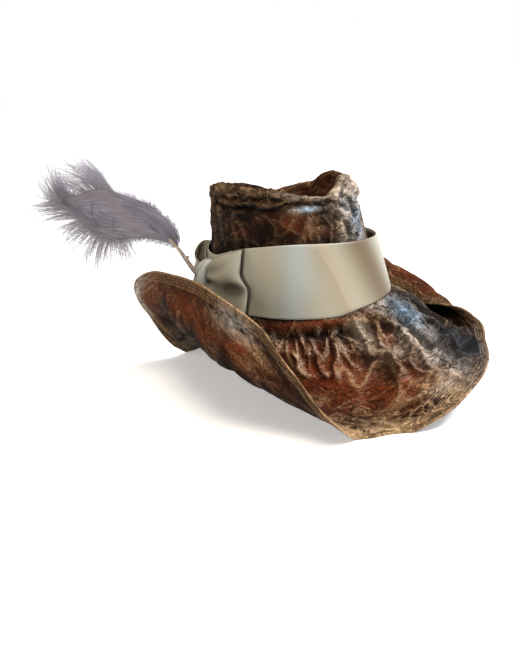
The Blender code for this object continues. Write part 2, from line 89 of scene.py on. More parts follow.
# %% Read the form's tables round the hat
def round_the_hat(rows, column, angles):
    """Reads a column of (angle, ...) rows at any angles, on a closed smooth curve that never overshoots."""
    xs = np.array([row[0] for row in rows], dtype=float)
    ys = np.array([row[column] for row in rows], dtype=float)
    xs = np.concatenate([xs[-2:] - 360, xs, xs[:2] + 360])
    ys = np.concatenate([ys[-2:], ys, ys[:2]])
    steps = np.diff(xs)
    rates = np.diff(ys) / steps
    before, after = rates[:-1], rates[1:]
    near, far = 2 * steps[1:] + steps[:-1], steps[1:] + 2 * steps[:-1]
    monotone = before * after > 0
    safe_before, safe_after = np.where(monotone, before, 1), np.where(monotone, after, 1)
    slopes = np.zeros_like(ys)
    slopes[1:-1] = np.where(monotone, (near + far) / (near / safe_before + far / safe_after), 0)
    x = np.mod(angles, 360)
    i = np.clip(np.searchsorted(xs, x, side="right") - 1, 1, len(xs) - 3)
    t = (x - xs[i]) / steps[i]
    ease = t * t * (3 - 2 * t)
    lead, trail = steps[i] * slopes[i], steps[i] * slopes[i + 1]
    return ys[i] + (ys[i + 1] - ys[i]) * ease + t * (1 - t) ** 2 * lead - t * t * (1 - t) * trail


def smooth(x):
    """Eases from 0 to 1 as x goes from 0 to 1."""
    x = np.clip(x, 0, 1)
    return x * x * (3 - 2 * x)


def turn_between(a, b):
    """The signed turn from b to a, in degrees."""
    return (a - b + 180) % 360 - 180


print("halfway between the front and the side lies", round(turn_between(45, 0)), "degrees")

# %% [markdown]
# A hat's foot is an oval, longer than it is wide. A circle could be scaled to it, but a formula for its
# radius is handier: every ring of the crown, the brim and the band is then found from it.

# %% Measure the crown's foot
CROWN_LENGTH, CROWN_WIDTH = 0.206, 0.174
CROWN_CLOTH, BRIM_CLOTH, RIBBON_CLOTH = 0.0025, 0.0028, 0.0010
FOOT_HEIGHT, COLLAR_HEIGHT = 0.009, 0.009
SOFT_GAP, GAP = 0.0009, 0.0003


def outward(angles):
    """Level unit vectors that point out from the crown's middle."""
    a = np.radians(angles)
    return np.stack([-np.sin(a), -np.cos(a)], axis=-1)


def oval(angles):
    """The crown's outer radius at its foot."""
    out = outward(angles)
    return 1 / np.hypot(out[..., 1] / (CROWN_LENGTH / 2), out[..., 0] / (CROWN_WIDTH / 2))


def place(angles, radii, heights):
    """Points at an angle, a radius and a height above the crown's base line."""
    level = outward(angles) * radii[..., None]
    return np.concatenate([level, heights[..., None]], axis=-1) + MIDDLE


print("crown's foot, mm:", round(2000 * float(oval(0.0))), "by", round(2000 * float(oval(90.0))))

# %% [markdown]
# The brim is one ring of velvet. At each angle its section leaves the crown at a slope and turns, part way
# out, to the slope of its rim. A slope past 90 degrees makes a roll, as a wired brim holds it. Adding up
# short steps along that turning slope draws the section, so the cloth never stretches.

# %% Write down the brim's shape
# Rows: angle, width, slope at the crown, slope at the rim, where it turns, over what length
BRIM = (
    (0, 0.136, -37, -26, 0.50, 0.90), (14, 0.142, -43, -34, 0.50, 0.90), (28, 0.141, -54, -46, 0.50, 0.90),
    (36, 0.136, -54, -24, 0.80, 0.50), (44, 0.144, -53, 40, 0.78, 0.50), (53, 0.153, -52, 96, 0.70, 0.50),
    (64, 0.162, -50, 118, 0.59, 0.50), (80, 0.156, -46, 120, 0.53, 0.60),
    (100, 0.129, -45, 118, 0.48, 0.70), (120, 0.112, -43, 108, 0.46, 0.70),
    (137, 0.109, -41, 90, 0.46, 0.70), (149, 0.114, -41, 62, 0.50, 0.80), (160, 0.102, -43, 8, 0.55, 0.80),
    (170, 0.115, -51, -44, 0.55, 0.80), (182, 0.134, -54, -48, 0.55, 0.80),
    (198, 0.136, -54, -48, 0.55, 0.80), (216, 0.136, -54, -47, 0.55, 0.80),
    (227, 0.127, -48, -14, 0.58, 0.80), (237, 0.121, -40, 64, 0.62, 0.78),
    (249, 0.142, -32, 168, 0.67, 0.74), (264, 0.165, -25, 244, 0.69, 0.74),
    (280, 0.161, -32, 253, 0.71, 0.70), (295, 0.156, -36, 252, 0.74, 0.64),
    (307, 0.148, -39, 238, 0.75, 0.56), (316, 0.136, -38, 216, 0.77, 0.50),
    (323, 0.125, -38, 178, 0.81, 0.44), (330, 0.120, -36, 84, 0.84, 0.36),
    (338, 0.120, -36, -8, 0.70, 0.50), (347, 0.128, -35, -25, 0.50, 0.60),
)
print("width of the brim's cloth, mm:", [round(1000 * pick(row[1] for row in BRIM)) for pick in (min, max)])

# %% [markdown]
# A section starts on a short collar inside the crown's foot, where the real brim is sewn in and the band
# hides the seam. It bends out over 8 mm, then follows the slopes of the table. The underside is drawn, and
# the cloth's thickness is laid on it later.

# %% Draw the brim's sections
# The crown's side. Rows: height, share of the oval
SIDE = ((0.000, 1.010), (0.019, 0.978), (0.040, 0.910), (0.066, 0.842))
BEND_LENGTH, BEND_STEPS, SECTION_STEPS = 0.008, 8, 240


def collar_radius(angles, height):
    """The inner face of the brim's short collar, which stands inside the crown's foot."""
    share = np.interp(height, [row[0] for row in SIDE], [row[1] for row in SIDE])
    return oval(angles) * share - CROWN_CLOTH - BRIM_CLOTH - SOFT_GAP


def brim_sections(angles):
    """Radii, heights and slopes of the brim's underside, with a row for each angle."""
    width, slope_in, slope_rim, turn_at, turn_over = (
        round_the_hat(BRIM, column, angles)[:, None] for column in range(1, 6))
    bend = np.linspace(0, 1, BEND_STEPS + 1)[None, :]
    shares = np.linspace(0, 1, SECTION_STEPS + 1)[None, :]
    turned = smooth((shares - turn_at) / turn_over + 0.5)
    slopes = np.radians(np.concatenate(
        [-90 + (slope_in + 90) * bend, (slope_in + (slope_rim - slope_in) * turned)[:, 1:]], axis=1))
    lengths = np.concatenate([np.full((len(angles), BEND_STEPS), BEND_LENGTH / BEND_STEPS),
                              np.repeat(width / SECTION_STEPS, SECTION_STEPS, axis=1)], axis=1)
    middle = (slopes[:, 1:] + slopes[:, :-1]) / 2
    start = collar_radius(angles, FOOT_HEIGHT)[:, None]
    radii = np.concatenate([start, start + np.cumsum(np.cos(middle) * lengths, axis=1)], axis=1)
    heights = np.concatenate([np.zeros_like(start), np.cumsum(np.sin(middle) * lengths, axis=1)], axis=1)
    return radii, heights + FOOT_HEIGHT - GAP, slopes


def on_sections(sections, shares):
    """Reads the sections at shares of the brim's width. A share under zero lies in the bend at the crown."""
    at = np.where(shares < 0, BEND_STEPS * (1 + shares), BEND_STEPS + SECTION_STEPS * shares)
    step = np.clip(at.astype(int), 0, BEND_STEPS + SECTION_STEPS - 1)
    rest = at - step
    row = np.arange(len(sections[0]))[:, None]
    return [table[row, step] * (1 - rest) + table[row, step + 1] * rest for table in sections]


rolled = brim_sections(np.array([80.0, 280.0]))
print("the two rolls over the base, mm:", [round(1000 * float(h.max())) for h in rolled[1][:, 20:]])

# %% [markdown]
# Crushed velvet is pressed damp, so its ground is set in sharp creases that bend and branch. They can be
# sculpted by hand, baked from a picture or computed. Here the small ones are computed: the lines where a
# bent random swell changes its sign stand up as crests. Drawing the cloth out before it is read makes them
# run one way, as they do where the cloth is gathered at the crown or rolled at the rim.

# %% Compute the small creases
CREASE_HALF_WIDTH, BEND_SCALE, BEND_REACH = 0.10, 0.7, 0.6
# Without a fixed seed the noise is bent in another way by every run
noise.seed_set(7)


def ridges(cloth, stretch, length, seed):
    """One on the crests of creases about a length apart, falling off to both sides."""
    shift = Vector((seed * 7.1, seed * 3.3, seed * 5.7))
    value = []
    for point in (cloth.reshape(-1, 3) * stretch / length).tolist():
        at = Vector(point) + shift
        value.append(noise.noise(at + noise.noise_vector(at * BEND_SCALE) * BEND_REACH))
    return np.exp(-np.abs(value) / CREASE_HALF_WIDTH).reshape(cloth.shape[:-1])


def swell(cloth, length, seed):
    """Slow random swells, from about -1 to 1."""
    shift = Vector((seed * 4.7, seed * 9.1, seed * 2.9))
    value = [noise.noise(Vector(point) / length + shift) for point in cloth.reshape(-1, 3).tolist()]
    return np.array(value).reshape(cloth.shape[:-1])


front_rim = np.array([[0.0, -0.15, 0.13]])
print("crease at the middle of the front rim:", ridges(front_rim, (1, 1, 1), 0.030, 1).round(2))

# %% [markdown]
# The large folds are where the real cloth was gathered and pinched, so they are laid in one by one. Each is
# a line over the cloth with a rise and a half width. Sculpting would make them too, but rows of numbers can
# be read and changed one at a time. A straight line looks ruled, so every fold strays by a slow swell.

# %% Draw folds along lines
WANDER, WANDER_LENGTH = 0.0030, 0.011
# A fold is a wide soft swelling with a sharp crest on it. Shares of its rise, and how fast the crest falls
SOFT_SHARE, CREST_SHARE, CREST_FALL = 0.4, 0.8, 1.7
# Folds narrower than this are worn pale along the crest, over a part of their half width
NARROW_FOLD, WORN_PART = 0.0052, 0.30


def wander(cloth):
    """How far a fold strays sideways and lengthwise at each place of the cloth."""
    return [WANDER * swell(cloth, WANDER_LENGTH, seed) for seed in (11, 12)]


def fold_lines(folds, angles, shares, radii, widths, stray=(0, 0)):
    """The lift of every listed fold at each place, and the crest line along the raised ones."""
    lift, crest = np.zeros(angles.shape), np.zeros(angles.shape)
    for rise, half_width, path in folds:
        nearest = np.full(angles.shape, 1.0)
        for (start_angle, start_share), (end_angle, end_share) in zip(path, path[1:]):
            x = np.radians(turn_between(angles, start_angle)) * radii + stray[0]
            y = (shares - start_share) * widths + stray[1]
            run_x = np.radians(turn_between(end_angle, start_angle)) * radii
            run_y = (end_share - start_share) * widths
            t = np.clip((x * run_x + y * run_y) / (run_x ** 2 + run_y ** 2), 0, 1)
            nearest = np.minimum(nearest, np.hypot(x - run_x * t, y - run_y * t))
        away = nearest / half_width
        lift += rise * (SOFT_SHARE * np.exp(-away ** 2) + CREST_SHARE * np.exp(-CREST_FALL * away))
        if rise > 0 and half_width < NARROW_FOLD:
            crest = np.maximum(crest, np.exp(-(nearest / (WORN_PART * half_width)) ** 2))
    return lift, crest


print("a fold at the front rim strays, mm:", [round(1000 * float(way[0]), 1) for way in wander(front_rim)])

# %% [markdown]
# A fold is seen by its two faces: the one turned to the light is bright and the other one dark. Lamps alone
# give half of that, so the tip of each face is measured here, and further on it gives a painted highlight to
# the face that tips towards the light and painted shade to the other one.

# %% Measure how the faces of a fold tip, for painted light and shade
# The slope from which a face counts in full
FULL_TILT = 0.50


def tilt(lift, angles, radii):
    """One on a face that tips steeply towards falling angles, and down to minus one where it tips back."""
    rise = np.roll(lift, -1, axis=0) - np.roll(lift, 1, axis=0)
    step = np.radians(turn_between(np.roll(angles, -1, axis=0), np.roll(angles, 1, axis=0))) * radii
    return np.clip(rise / step / FULL_TILT, -1, 1)


print("slope of a full face, degrees:", round(math.degrees(math.atan(FULL_TILT))))

# %% [markdown]
# These are the brim's folds. The front is gathered under the band in short upright pleats, and three long
# folds run out to the rim on its right. The last ones are drawn by chance, for the sides that nobody has
# seen, and stay low and broad on the rolls, where the cloth is stretched smooth.

# %% Lay the brim's folds
# Rows: rise, half width, line of (angle, share of the brim's width)
BRIM_FOLDS = [
    (0.0036, 0.0050, ((21, 0.08), (20, 0.20), (22, 0.35), (21, 0.41), (18, 0.44), (16, 0.51), (17, 0.60))),
    (0.0030, 0.0045, ((13, 0.10), (11, 0.18), (8, 0.24), (5, 0.35))),
    (0.0024, 0.0040, ((13, 0.21), (15, 0.31), (16, 0.40), (15, 0.44))),
    (0.0020, 0.0035, ((49, 0.19), (47, 0.28))),
    (0.0022, 0.0035, ((44, 0.22), (42, 0.34))),
    (0.0020, 0.0035, ((36, 0.21), (40, 0.33))),
    (0.0026, 0.0040, ((33, 0.24), (34, 0.35), (37, 0.50))),
    (0.0018, 0.0035, ((32, 0.29), (31, 0.38), (28, 0.46))),
    (0.0020, 0.0035, ((54, 0.30), (51, 0.36), (53, 0.39), (49, 0.44))),
    (0.0022, 0.0035, ((48, 0.31), (43, 0.34), (43, 0.39), (41, 0.49))),
    (0.0030, 0.0065, ((64, 0.10), (49, 0.11), (27, 0.12))),
    (-0.0026, 0.0062, ((60, 0.17), (45, 0.19), (26, 0.20))),
    (0.0034, 0.0050, ((10, 0.16), (6, 0.28), (5, 0.42), (5, 0.53), (7, 0.63), (7, 0.72), (4, 0.86),
                      (3, 0.97))),
    (-0.0030, 0.0060, ((352, 0.10), (357, 0.31), (0, 0.50), (0, 0.58))),
    (0.0024, 0.0040, ((21, 0.41), (17, 0.43), (16, 0.53), (17, 0.65))),
    (0.0022, 0.0040, ((16, 0.48), (12, 0.55), (11, 0.65), (8, 0.76))),
    (0.0020, 0.0035, ((0, 0.61), (355, 0.61), (346, 0.68), (333, 0.82))),
    (0.0020, 0.0035, ((1, 0.62), (359, 0.68), (2, 0.76))),
    (0.0030, 0.0060, ((344, 0.12), (347, 0.35), (346, 0.55), (351, 0.73))),
    (0.0016, 0.0110, ((75, 0.35), (78, 0.92))),
    (-0.0016, 0.0110, ((110, 0.28), (114, 0.90))),
    (0.0040, 0.0110, ((197, 0.20), (203, 0.74))),
    (0.0035, 0.0110, ((236, 0.24), (240, 0.80))),
    (0.0035, 0.0100, ((290, 0.14), (295, 0.56))),
]
random = np.random.default_rng(7)
for angle in np.arange(64, 344, 9.0):
    start_angle, start = angle + random.uniform(-4, 4), random.uniform(0.08, 0.34)
    bends = start_angle + np.cumsum(random.uniform(-4.5, 4.5, 4))
    ends = start + np.cumsum(random.uniform(0.06, 0.17, 4))
    on_roll = angle < 150 or 250 < angle < 330
    rise = random.uniform(0.0016, 0.0030) * (0.6 if on_roll else 1)
    half_width = random.uniform(0.0035, 0.0055) + 0.0035 * on_roll
    BRIM_FOLDS.append((rise, half_width, tuple(zip(bends.tolist(), np.minimum(ends, 0.93).tolist()))))
print("brim folds:", len(BRIM_FOLDS))

# %% [markdown]
# The patches of pile are laid in too, as soft spots: rust where the pile stands up, dark where it lies away
# and where shade is painted, pale where it is brushed flat and a sheen is painted, and a painted cool light
# on the side towards the window. Each vertex stores them, and the velvet's nodes mix them with finer noise.
# They belong to the cloth, so they stay put from every side.

# %% Lay the brim's patches
# Rows: angle, share, half spread in degrees, half spread in share, strength
# Pile brushed flat, with a painted sheen on it
BRIM_SHEEN_AND_FLAT_PILE = (
    (3, 0.40, 4.5, 0.48, 0.85), (1, 0.07, 8, 0.10, 1.00), (353, 0.20, 8, 0.13, 1.00),
    (352, 0.36, 7, 0.12, 0.80), (353, 0.50, 6, 0.08, 0.50), (20, 0.28, 4, 0.18, 0.55),
    (14, 0.46, 6, 0.06, 0.45), (6, 0.85, 7, 0.05, 0.60), (151, 0.95, 9, 0.08, 0.85),
    (75, 0.90, 8, 0.06, 0.75), (200, 0.45, 16, 0.20, 0.55), (180, 0.80, 14, 0.16, 0.45),
    (232, 0.30, 14, 0.18, 0.60), (262, 0.45, 14, 0.16, 0.45), (160, 0.30, 12, 0.16, 0.45),
    (120, 0.30, 14, 0.14, 0.35), (300, 0.35, 12, 0.14, 0.40),
)
# A painted cool light where the window's light falls
BRIM_PAINTED_COOL_LIGHT = (
    (350, 0.26, 10, 0.24, 1.00), (346, 0.75, 13, 0.26, 1.00), (151, 0.95, 9, 0.08, 0.30),
    (232, 0.30, 14, 0.18, 0.60), (73, 0.92, 7, 0.06, 0.35), (326, 0.40, 14, 0.30, 0.90),
)
# Dark pile, and painted shade under the far roll's hem and inside its curl
BRIM_DARK_PILE_AND_SHADE = (
    (347, 0.60, 9, 0.13, 1.00), (350, 0.77, 11, 0.17, 1.00), (344, 0.88, 10, 0.12, 1.00),
    (0, 0.90, 4, 0.10, 0.70), (356, 0.32, 3, 0.10, 0.70), (50, 0.17, 26, 0.03, 0.40),
    (80, 0.56, 26, 0.07, 0.90), (56, 0.70, 7, 0.12, 0.80), (168, 0.74, 7, 0.14, 0.80),
    (122, 0.52, 22, 0.08, 0.60), (215, 0.62, 12, 0.14, 0.50), (326, 0.40, 9, 0.16, 1.00),
    (337, 0.20, 6, 0.10, 0.90), (324, 0.24, 7, 0.14, 1.00), (294, 0.48, 20, 0.08, 1.00),
)
BRIM_RUST = (
    (44, 0.11, 24, 0.035, 0.80), (44, 0.42, 16, 0.16, 0.95), (34, 0.54, 16, 0.22, 1.00),
    (18, 0.70, 10, 0.15, 1.00), (54, 0.26, 10, 0.10, 0.80), (12, 0.34, 5, 0.10, 0.60),
    (102, 0.76, 26, 0.13, 1.00), (142, 0.80, 14, 0.16, 0.95), (72, 0.77, 15, 0.09, 0.95),
    (286, 0.84, 16, 0.12, 0.70), (308, 0.84, 12, 0.12, 0.70), (213, 0.70, 16, 0.20, 0.80),
    (185, 0.35, 12, 0.20, 0.80), (262, 0.25, 18, 0.16, 0.70), (128, 0.45, 16, 0.20, 0.70),
)
BRIM_GOLD = (
    (36, 0.95, 9, 0.06, 0.90), (24, 0.93, 12, 0.10, 1.00), (11, 0.90, 9, 0.12, 1.00),
    (7, 0.80, 5, 0.08, 0.70), (46, 0.60, 6, 0.05, 0.55), (90, 0.99, 60, 0.015, 0.40),
    (300, 0.98, 34, 0.020, 0.40), (276, 0.90, 14, 0.06, 0.20), (200, 0.96, 30, 0.04, 0.70),
    (250, 0.97, 14, 0.03, 0.60), (64, 0.82, 5, 0.08, 0.50), (350, 0.985, 14, 0.012, 0.90),
)
# Where the underside is the face that shows, because the brim is rolled over
ROLLS = ((105, 0.82, 50, 0.34, 1.00), (292, 0.84, 40, 0.30, 1.00))


def patches(rows, angles, shares):
    """The strongest of the soft spots at each place."""
    value = np.zeros(angles.shape)
    for angle, share, spread_angle, spread_share, strength in rows:
        away = (turn_between(angles, angle) / spread_angle) ** 2 + ((shares - share) / spread_share) ** 2
        value = np.maximum(value, strength * np.exp(-away))
    return value


print("frost on the long fold:", float(patches(BRIM_SHEEN_AND_FLAT_PILE, np.array([3.0]), np.array([0.4]))[0]))

# %% [markdown]
# The brim is one closed skin: the upper face from the collar out to the rim, round the rim's hem, and back
# along the underside. A plane could be bent into it, but rows and columns that are placed by number can
# crowd where the brim rolls and at the hem, and stay few elsewhere.

# %% Space the brim's points
BRIM_COLUMNS = 560
TOP_ROWS, HEM_ROWS, UNDER_ROWS = 92, 5, 72
BEND_ROWS, RIM_ROWS, RIM_ZONE = 6, 13, 0.013
# Where the columns crowd. Rows: angle, spread in degrees, how much closer they stand
CROWDS = ((45, 16, 1.2), (320, 14, 1.2), (240, 12, 0.8), (8, 25, 0.8))


def brim_angles(count):
    """Angles round the brim, about twice as close where the roll turns down to the front and the back."""
    fine = np.linspace(0, 360, 1441)
    crowding = np.ones(len(fine))
    for angle, spread, closer in CROWDS:
        crowding += closer * np.exp(-(turn_between(fine, angle) / spread) ** 2)
    run = np.concatenate([[0], np.cumsum((crowding[1:] + crowding[:-1]) / 2)])
    return np.interp(np.linspace(0, run[-1], count + 1)[:-1], run, fine)


def face_rows(count, width):
    """Shares from the crown's seam to the rim on one face, a millimetre apart beside the rim."""
    rim_share = 1 - BRIM_CLOTH / 2 / width
    zone = RIM_ZONE / width
    bend = np.repeat(np.linspace(-1, 0, BEND_ROWS + 1)[None, :-1], len(width), axis=0)
    field = (rim_share - zone) * np.linspace(0, 1, count - BEND_ROWS - RIM_ROWS)[None, :]
    rim = rim_share - zone * np.linspace(1, 0, RIM_ROWS + 1)[None, 1:]
    return np.concatenate([bend, field, rim], axis=1), rim_share


columns = brim_angles(BRIM_COLUMNS)
brim_width = round_the_hat(BRIM, 1, columns)[:, None]
top_rows, rim_share = face_rows(TOP_ROWS, brim_width)
under_rows = face_rows(UNDER_ROWS, brim_width)[0][:, ::-1]
brim_share = np.concatenate([top_rows, np.repeat(rim_share, HEM_ROWS, axis=1), under_rows], axis=1)
hem_turn = np.linspace(90, -90, HEM_ROWS + 2)[1:-1]
facing = np.radians(np.concatenate([np.full(TOP_ROWS, 90.0), hem_turn, np.full(UNDER_ROWS, -90.0)]))[None, :]
brim_at = np.repeat(columns[:, None], brim_share.shape[1], axis=1)
brim_radius, brim_height, brim_slope = on_sections(brim_sections(columns), brim_share)
print("points on the brim:", brim_share.size)

# %% [markdown]
# The brim's creases are of three kinds. Crumples cover all of it, ripples run along the rim, where the
# cloth is rolled, and gathers fan out from the crown, where the wide ring is drawn in. They are read on the
# flat cloth, so one crease lies on both faces. Where a roll shows the underside, the relief is turned to
# face outwards.

# %% Crease the brim's cloth
CLOTH_RADIUS, LEAST_RADIUS, FULL_RELIEF = 0.150, 0.05, 0.0030
# How the cloth is drawn out before a crease is read: not at all, along the rim, and out from the crown
EVEN, ALONG_RIM, OUT_FROM_CROWN = (1, 1, 1), (0.45, 0.45, 1.5), (1.6, 1.6, 0.4)
# The mean of a crease, taken off so that creases do not thicken the cloth
MEAN_CREASE = 0.3

out_on_cloth = np.maximum(brim_share, 0) * brim_width
brim_cloth = np.concatenate([outward(brim_at) * CLOTH_RADIUS, out_on_cloth[..., None]], axis=-1)
crumple = ridges(brim_cloth, EVEN, 0.030, 1)
ripples = ridges(brim_cloth, ALONG_RIM, 0.016, 2)
gathers = ridges(brim_cloth, OUT_FROM_CROWN, 0.022, 3)
near_rim = smooth((brim_share - 0.50) / 0.3)
near_crown = smooth((0.50 - brim_share) / 0.25) * smooth((brim_share - 0.14) / 0.06)
small = 0.0019 * (crumple - MEAN_CREASE) + 0.0012 * (ripples - MEAN_CREASE) * (0.3 + 0.7 * near_rim)
small += 0.0015 * (gathers - MEAN_CREASE) * near_crown

rolls = patches(ROLLS, brim_at, brim_share)
side = (1 - 2 * rolls) * (1 - 0.55 * rolls)
round_radius = np.maximum(brim_radius, LEAST_RADIUS)
folds, fold_crest = fold_lines(BRIM_FOLDS, brim_at, brim_share, round_radius, brim_width, wander(brim_cloth))
# Flat at the seam, and held down a little by the hem
free = smooth((brim_share - 0.03) / 0.10) * (0.4 + 0.6 * smooth((1 - brim_share) / 0.06))
brim_lift = (1.2 * folds + side * small + 0.0012 * swell(brim_cloth, 0.030, 2)) * free
deepest, highest = (round(1000 * float(end), 1) for end in (brim_lift.min(), brim_lift.max()))
print("relief of the brim, mm:", deepest, "to", highest)

# %% [markdown]
# From the relief come the marks: pale lines on the crests, where the pile is worn and a highlight is
# painted, painted shade in the hollows, and a painted highlight or painted shade on the tipped faces of the
# folds. On the underside the relief counts the other way round.

# %% Read the wear and the painted light and shade from the brim's relief
face = np.where(np.sin(facing) > 0, 1.0, -1.0)
brim_dark_pile_and_shade = patches(BRIM_DARK_PILE_AND_SHADE, brim_at, brim_share)
# The depth of the hollows, which get painted shade
sunk = np.maximum(-brim_lift * face / FULL_RELIEF, 0)
# Painted highlight where a face tips towards the light, painted shade where it tips away
face_light_and_shade = tilt(brim_lift, brim_at, round_radius) * face * (1 - rolls)
face_light_and_shade = face_light_and_shade * smooth((brim_share - 0.10) / 0.10) * (1 - 0.8 * brim_dark_pile_and_shade)
# Pale crest lines, where the pile is worn and a highlight is painted
crests = np.maximum(crumple ** 3, np.maximum(ripples ** 2 * near_rim, gathers ** 2 * near_crown))
crests = np.where(side * face > 0, 0.85 * crests * (1 - 0.8 * rolls), 0)
print("share of the brim that tips to the light:", round(float((face_light_and_shade > 0.3).mean()), 2))

# %% [markdown]
# The hem is the rim turned under and stitched down in three rows. Each row pulls up a low ridge beside it,
# as the machine's thread draws the cloth in. A modelled thread would be too fine to see, so only the ridges
# are made. Where the front of the brim touches the table it lies flat on it.

# %% Place the brim's skin
HEM_STITCHES = (0.0034, 0.0062, 0.0090)
STITCH_RIDGE, STITCH_HALF_WIDTH, HEM_FOLD = 0.0006, 0.0009, 0.0012


def settle(heights):
    """Lays what would reach below the surface flat on it, with a soft bend where the cloth meets it."""
    blend = 0.0012
    soft = (heights + blend) ** 2 / (4 * blend)
    return np.where(heights >= blend, heights, np.where(heights <= -blend, 0.0, soft))


from_edge = (rim_share - brim_share) * brim_width
stitches = sum(np.exp(-((from_edge - row) / STITCH_HALF_WIDTH) ** 2) for row in HEM_STITCHES)
half = BRIM_CLOTH / 2
off_middle = half + brim_lift + STITCH_RIDGE * stitches * np.sin(facing) + half * np.sin(facing)
round_hem = half * np.cos(facing)
out = brim_radius - np.sin(brim_slope) * off_middle + np.cos(brim_slope) * round_hem
rise = brim_height + np.cos(brim_slope) * off_middle + np.sin(brim_slope) * round_hem
brim_skin = place(brim_at, out, rise)
cloth_under = np.maximum(BRIM_CLOTH * np.sin(facing), 0)
brim_skin[..., 2] = settle(brim_skin[..., 2] - cloth_under) + cloth_under

collar_top = np.full(BRIM_COLUMNS, FOOT_HEIGHT + COLLAR_HEIGHT)
collar_inside = collar_radius(columns, collar_top[0])
inner, outer = (place(columns, collar_inside + wall, collar_top)[:, None] for wall in (0, BRIM_CLOTH))
brim_skin = np.concatenate([outer, brim_skin, inner], axis=1)
print("the brim stands from", round(1000 * float(brim_skin[..., 2].min()), 1), "mm up")

# %% [markdown]
# Every piece is turned into a mesh in the same way, from points and faces. Its patches go in as attributes,
# one value for each vertex, and the place on the flat cloth goes in too. A painted picture could hold them,
# but it would need an unwrapping, and this needs none.

# %% Turn points into a piece
def store(mesh, fields, cloth=None):
    """Keeps a value for each vertex under each field's name, and where the vertex lies on the flat cloth."""
    for label, values in fields.items():
        layer = mesh.attributes.new(label, "FLOAT", "POINT")
        layer.data.foreach_set("value", values.reshape(-1).astype(np.float32))
    if cloth is not None:
        layer = mesh.attributes.new("cloth", "FLOAT_VECTOR", "POINT")
        layer.data.foreach_set("vector", cloth.reshape(-1).astype(np.float32))


def piece_from(name, points, faces, fields, cloth=None):
    """A smooth piece of the hat from a grid of points, with its fields stored in it."""
    mesh = bpy.data.meshes.new(name)
    mesh.from_pydata(points.reshape(-1, 3).tolist(), [], faces)
    store(mesh, fields, cloth)
    mesh.shade_smooth()
    piece = bpy.data.objects.new(name, mesh)
    bpy.context.scene.collection.objects.link(piece)
    return piece


def closed_skin(name, grid, fields, cloth=None):
    """A piece from a grid of points that closes both ways round."""
    index = np.arange(grid[..., 0].size).reshape(grid.shape[:2])
    there, up = np.roll(index, -1, axis=0), np.roll(index, -1, axis=1)
    faces = np.stack([index, there, np.roll(there, -1, axis=1), up], axis=-1).reshape(-1, 4)
    return piece_from(name, grid, faces.tolist(), fields, cloth)


def with_collar(values):
    """Repeats the first and the last row of the skin's values, for the two rings of the collar."""
    return np.concatenate([values[:, :1], values, values[:, -1:]], axis=1)


# Pale crests are worn pile with a painted highlight, hollows and faces tipped away get painted shade, flat
# pile gets a painted sheen, the window side a painted cool light, and dark patches are dark pile and painted
# shade
brim_fields = {
    "crest": np.clip(np.maximum(crests, np.where(face > 0, 0.25 * fold_crest, 0)) * free, 0, 1),
    "painted_hollow_shade": np.clip(0.8 * sunk + 0.6 * np.maximum(-face_light_and_shade, 0), 0, 1),
    "sheen_and_flat_pile": np.maximum(patches(BRIM_SHEEN_AND_FLAT_PILE, brim_at, brim_share), 0.36 * np.maximum(face_light_and_shade, 0)),
    "painted_cool_light": patches(BRIM_PAINTED_COOL_LIGHT, brim_at, brim_share),
    "dark_pile_and_shade": brim_dark_pile_and_shade,
    "rust": patches(BRIM_RUST, brim_at, brim_share),
    "gold": patches(BRIM_GOLD, brim_at, brim_share),
    "stitch": np.clip(0.55 * stitches + 0.8 * np.exp(-(from_edge / HEM_FOLD) ** 2), 0, 1),
}
brim_fields = {label: with_collar(values) for label, values in brim_fields.items()}
brim = closed_skin("brim_velvet", brim_skin, brim_fields, with_collar(brim_cloth))
print("brim faces:", len(brim.data.polygons))

# %% [markdown]
# The crown is blocked in one piece over a form and pinched by hand: a tapering side, a soft lip that rises
# and falls, and a dent. A lathe could not give it, because nothing on it is round. So it is drawn as the
# brim is, in columns from the foot over the lip to the middle of the dent.

# %% Write down the crown's shape
# The lip's height round the crown. Rows: angle, height
RIM = (
    (4, 0.1270), (12, 0.1165), (20, 0.1095), (31, 0.1115), (45, 0.1165), (58, 0.1205), (72, 0.1260),
    (90, 0.1280), (110, 0.1280), (128, 0.1245), (145, 0.1205), (170, 0.1165), (193, 0.1110), (210, 0.1045),
    (222, 0.1020), (237, 0.1062), (258, 0.1095), (271, 0.1180), (284, 0.1215), (298, 0.1200), (315, 0.1135),
    (333, 0.1110), (347, 0.1180), (356, 0.1255),
)
# The lip's section. Rows: depth below the rim, share of the oval
LIP = ((0.030, 0.818), (0.022, 0.812), (0.015, 0.792), (0.008, 0.812), (0.002, 0.800), (0.000, 0.772),
       (0.004, 0.732), (0.011, 0.700))
# The dent. Rows: share of the oval, share of the drop from the lip to its floor
DENT = ((0.56, 0.62), (0.38, 0.86), (0.18, 0.97), (0.03, 1.0))
DENT_FLOOR = 0.083
CROWN_LEAN, CROWN_LEAN_ANGLE = 0.003, 140.0
print("height of the lip, mm:", [round(1000 * pick(row[1] for row in RIM)) for pick in (min, max)])

# %% [markdown]
# The lip of the real crown is three or four folds that lie over one another, with dark grooves between
# them. They run round the hat, so their lines keep nearly one height. Below them fine folds slant down to
# the band, and the right side, towards the window, is pinched into deep upright ones.

